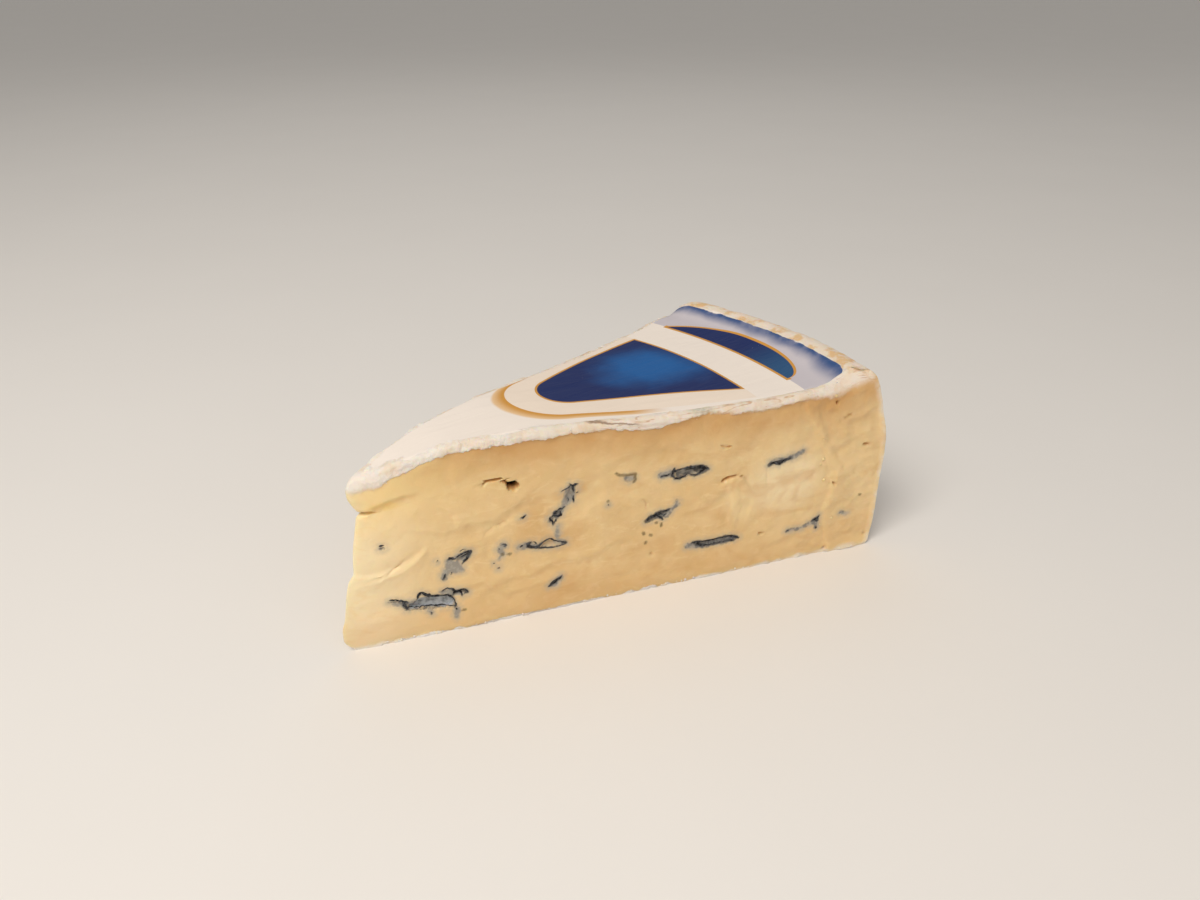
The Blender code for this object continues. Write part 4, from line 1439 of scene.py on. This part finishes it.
# The print, in millimetres in the wheel's frame. Its rings are concentric with the wheel. The
# shield and the arc round it are wedges with a round tip, which lie a little askew.
SHIELD_BACK = 92.9
SHIELD_SLANT = math.radians(19.5)  # of each side to the middle line
SHIELD_TIP_RADIUS = 6.9
SHIELD_TIP_CENTRE = 58.0
SHIELD_MIDDLE = 4.4
SHIELD_BOW = 0.0048  # how fast the middle line leaves that, as a square of the way from its crest
SHIELD_CREST = 70.0
GLOW_CENTRE = 82.0
GLOW_ASIDE = 1.5  # from the shield's middle line
GLOW_LENGTH = 19.0
GLOW_WIDTH = 15.0
BAND_START = SHIELD_BACK + 0.6  # of the bare band behind the shield
ARC_SLANT = math.radians(19.8)
ARC_TIP_RADIUS = 11.0
ARC_TIP_CENTRE = 54.1
ARC_MIDDLE = 2.3
LENS_INNER = 105.0
LENS_OUTER = 112.0
LENS_MIDDLE = math.radians(2.0)
LENS_NEAR_END = math.radians(-10.7)
LENS_FAR_END = math.radians(12.7)
LENS_LENGTH = 20.0  # from its middle to its far end
OUTER_END = 116.0
OUTER_NEAR_END = math.radians(-15.2)
OUTER_CORNER = 4.5  # radius of the field's near corner

PAPER_WHITE = colour(242, 232, 222)
PAPER_BEIGE = colour(240, 225, 209)
GOLD = colour(208, 150, 66)
GOLD_PALE = colour(232, 196, 150)
NAVY = colour(28, 44, 96)
BLUE = colour(30, 94, 160)
LENS_BLUE = colour(42, 84, 126)
EDGE_BLUE = colour(56, 84, 134)
LAVENDER = colour(200, 194, 200)


def label_graph():
    """A graph with the place on the label. The distances from its shapes are below 0 inside."""
    g = Graph("label")
    x, g.y, _ = g.axes()
    g.x = x - float(WHEEL_CENTRE[0])
    g.radius = g.length(g.x, g.y)
    g.angle = g.math("ARCTAN2", g.y, g.x)
    return g


def wedge_distance(g, aside, centre, slant, tip_radius):
    """Distance from a wedge that opens along +X and has a round tip."""
    along = g.x - centre
    outwards = g.most(aside * math.cos(slant) - along * math.sin(slant), 0.0)
    onwards = g.least(along * math.cos(slant) + aside * math.sin(slant), 0.0)
    return g.length(outwards, onwards) - tip_radius


def shield_print(g):
    """Distance from the shield, and its colour."""
    from_crest = g.x - SHIELD_CREST
    aside = g.y - (SHIELD_MIDDLE - from_crest * from_crest * SHIELD_BOW)
    sides = wedge_distance(g, abs(aside), SHIELD_TIP_CENTRE, SHIELD_SLANT, SHIELD_TIP_RADIUS)
    glow = g.length((aside - GLOW_ASIDE) / GLOW_WIDTH, (g.x - GLOW_CENTRE) / GLOW_LENGTH)
    glow = glow + (g.noise(9.0) - 0.5) * 0.7
    looks = g.mix(g.fade(glow, 1.0, 0.15), NAVY, BLUE)
    return g.most(sides, g.radius - SHIELD_BACK), looks


def arc_print(g):
    """Distance from the arc's inner edge, its share and its colour. It is widest at its tip."""
    aside = abs(g.y - ARC_MIDDLE)
    arc = wedge_distance(g, aside, ARC_TIP_CENTRE, ARC_SLANT, ARC_TIP_RADIUS)
    width = g.fade(g.y, -1.0, -9.0, 0.8, 2.0) + 2.5 * g.fade(aside, 15.0, 2.0)
    faded = arc / width
    gone = g.fade(g.x, 62.0, 72.0) * g.fade(g.y, 0.0, -3.0)
    share = g.fade(arc, -0.1, 0.1) * g.fade(faded, 1.15, 0.85) * (1.0 - gone)
    return arc, share, g.mix(g.fade(faded, 0.1, 1.0), GOLD, GOLD_PALE)


def lens_distance(g):
    """Distance from the lens, whose inner edge is a ring and whose outer edge bows."""
    from_middle = g.angle - LENS_MIDDLE
    to_near = from_middle / (LENS_NEAR_END - LENS_MIDDLE)
    to_far = from_middle / (LENS_FAR_END - LENS_MIDDLE)
    near_bow = g.math("SQRT", g.most(1.0 - g.most(to_near, 0.0) ** 2.6, 0.0))
    far_bow = g.most(1.0 - g.most(to_far, 0.0) ** 2.2, 0.0)
    halfway = near_bow * far_bow * (LENS_OUTER - LENS_INNER) * 0.5
    past_end = (g.most(to_near, to_far) - 1.0) * LENS_LENGTH
    return g.most(abs(g.radius - (LENS_INNER + halfway)) - halfway, past_end)


def outer_print(g):
    """Share and colour of the outer field: blue along its torn edge and pale inside."""
    ragged = (g.noise(6.0, detail=4.0) - 0.5) * 2.8
    edge_gap = OUTER_END + ragged - g.radius
    end_gap = (g.angle - OUTER_NEAR_END) * OUTER_END + ragged * 0.3
    corner = OUTER_CORNER - g.least(edge_gap, OUTER_CORNER)
    end_corner = OUTER_CORNER - g.least(end_gap, OUTER_CORNER)
    inside = OUTER_CORNER - g.length(corner, end_corner)
    share = g.fade(g.radius - LENS_INNER, -0.1, 0.1) * g.fade(inside, -0.15, 0.15)
    depth = g.fade(g.angle, math.radians(-7.0), math.radians(-13.0), 3.4, 6.0)
    end_blue = g.fade(end_gap, 1.6, 0.0) * g.fade(g.radius, 108.5, 114.0)
    blue = g.most(g.fade(edge_gap / depth, 1.0, 0.1), end_blue * 0.8)
    blue = blue * g.fade(g.noise(3.0), 0.3, 0.6, 0.75, 1.0)
    return share, g.mix(blue, LAVENDER, EDGE_BLUE)


def label_material():
    g = label_graph()
    shield, shield_looks = shield_print(g)
    arc, arc_share, arc_looks = arc_print(g)
    lens = lens_distance(g)
    lens_blue = g.fade(g.angle, math.radians(1.0), math.radians(-9.0))
    worn = g.noise(1.3, detail=5.0, roughness=0.65)
    flecks = g.fade(worn, 0.68, 0.72) * g.fade(g.noise(9.0), 0.5, 0.62)
    looks = g.layers(
        PAPER_WHITE,
        (g.fade(arc, 0.2, -0.2), PAPER_BEIGE),
        (arc_share, arc_looks),
        (g.fade(shield, 0.62, 0.48), GOLD),
        (g.fade(shield, 0.08, -0.08), shield_looks),
        (g.fade(g.radius - BAND_START, -0.08, 0.08), PAPER_WHITE),
        outer_print(g),
        (g.fade(lens, 0.78, 0.62), GOLD),
        (g.fade(lens, 0.06, -0.1), g.mix(lens_blue, NAVY, LENS_BLUE)),
        (flecks * 0.6, PAPER_WHITE),
    )
    wrinkles = g.noise(3.5, g.stretched(0.35, 1.4, 1.0), distortion=0.6)
    return g.finish(
        Base_Color=looks,
        Roughness=0.42 + wrinkles * 0.2,
        Normal=g.bump(g.noise(0.5), 0.02, g.bump(wrinkles, 0.22)),
        Specular_IOR_Level=0.12,
    )


def floor_material():
    g = Graph("floor")
    tone = g.mix(g.noise(60.0), colour(236, 233, 229), colour(239, 236, 232))
    return g.finish(Base_Color=tone, Roughness=0.75)


# ---- The object.
cheese, cut_faces, (cheese_points, cheese_fields) = make_cheese(cheese_material())
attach(cheese, "root")
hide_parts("cheese")

surface = piece_points(cheese)
rind_chance, paste_chance = crumb_chances(cheese_points, cheese_fields)
rind_crumb = crumb_material("rind_crumbs", MOULD, MOULD_CREAM)
paste_crumb = crumb_material("paste_crumbs", PASTE_LIGHT, PASTE)
small_pieces = (
    make_threads(cut_faces, vein_material()),
    scatter("rind_crumbs", surface, rind_chance, (0.12, 0.32), rind_crumb, seed=8),
    scatter("paste_crumbs", surface, paste_chance, (0.15, 0.45), paste_crumb, seed=9),
)
for piece in small_pieces:
    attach(piece, "root")

label = make_label(label_material())
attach(label, "root")
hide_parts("label")


# ---- Stage, light and camera.
FLOOR_SIZE = 12.0
CAMERA_FROM_WHEEL = (-54.6, -165.5, 132.0)  # millimetres from the wheel's centre
CAMERA_HEADING = math.radians(54.25)  # from +X towards +Y
CAMERA_PITCH = math.radians(27.02)  # below the horizon
CAMERA_LENS = 30.0

# Lights: (name, azimuth from +X, elevation, distance, size, watts, colour), aimed at the wedge.
LIGHTS = (
    ("key", 205.0, 52.0, 0.75, 0.35, 3.65, (1.0, 0.94, 0.87)),
    ("front", 268.0, 30.0, 0.90, 0.60, 0.5, (1.0, 0.95, 0.89)),
    ("back", 60.0, 48.0, 0.90, 0.60, 0.5, (1.0, 0.97, 0.93)),
)
SKY = (1.0, 0.965, 0.92, 1.0)
SKY_STRENGTH = 0.36


def make_floor():
    mesh = bpy.data.meshes.new("floor")
    half = FLOOR_SIZE / 2
    corners = [(-half, -half, 0.0), (half, -half, 0.0), (half, half, 0.0), (-half, half, 0.0)]
    mesh.from_pydata(corners, [], [(0, 1, 2, 3)])
    mesh.materials.append(floor_material())
    made = new_object("floor", mesh)


def make_lights(target):
    for name, azimuth, elevation, reach, size, watts, tint in LIGHTS:
        lamp = bpy.data.lights.new(name, "AREA")
        lamp.size = size
        lamp.energy = watts
        lamp.color = tint
        turn, rise = math.radians(azimuth), math.radians(elevation)
        way = (math.cos(turn) * math.cos(rise), math.sin(turn) * math.cos(rise), math.sin(rise))
        away = Vector(way)
        made = new_object(name, lamp)
        made.location = target + away * reach
        made.rotation_euler = away.to_track_quat("Z", "Y").to_euler()


def make_world():
    world = bpy.data.worlds.new("studio")
    world.use_nodes = True
    sky = world.node_tree.nodes["Background"]
    sky.inputs["Color"].default_value = SKY
    sky.inputs["Strength"].default_value = SKY_STRENGTH
    bpy.context.scene.world = world


def make_camera():
    lens = bpy.data.cameras.new("camera")
    lens.lens = CAMERA_LENS
    lens.clip_start = 0.01
    lens.clip_end = 50.0
    made = new_object("camera", lens)
    made.location = to_frame(CAMERA_FROM_WHEEL)
    made.rotation_euler = (math.pi / 2 - CAMERA_PITCH, 0.0, CAMERA_HEADING - math.pi / 2)
    bpy.context.scene.camera = made


make_floor()
make_lights(target=Vector((0.0, 0.0, 0.5 * high.z)))
make_world()
make_camera()
bpy.context.scene.view_settings.view_transform = "Standard"

bpy.context.view_layer.update()
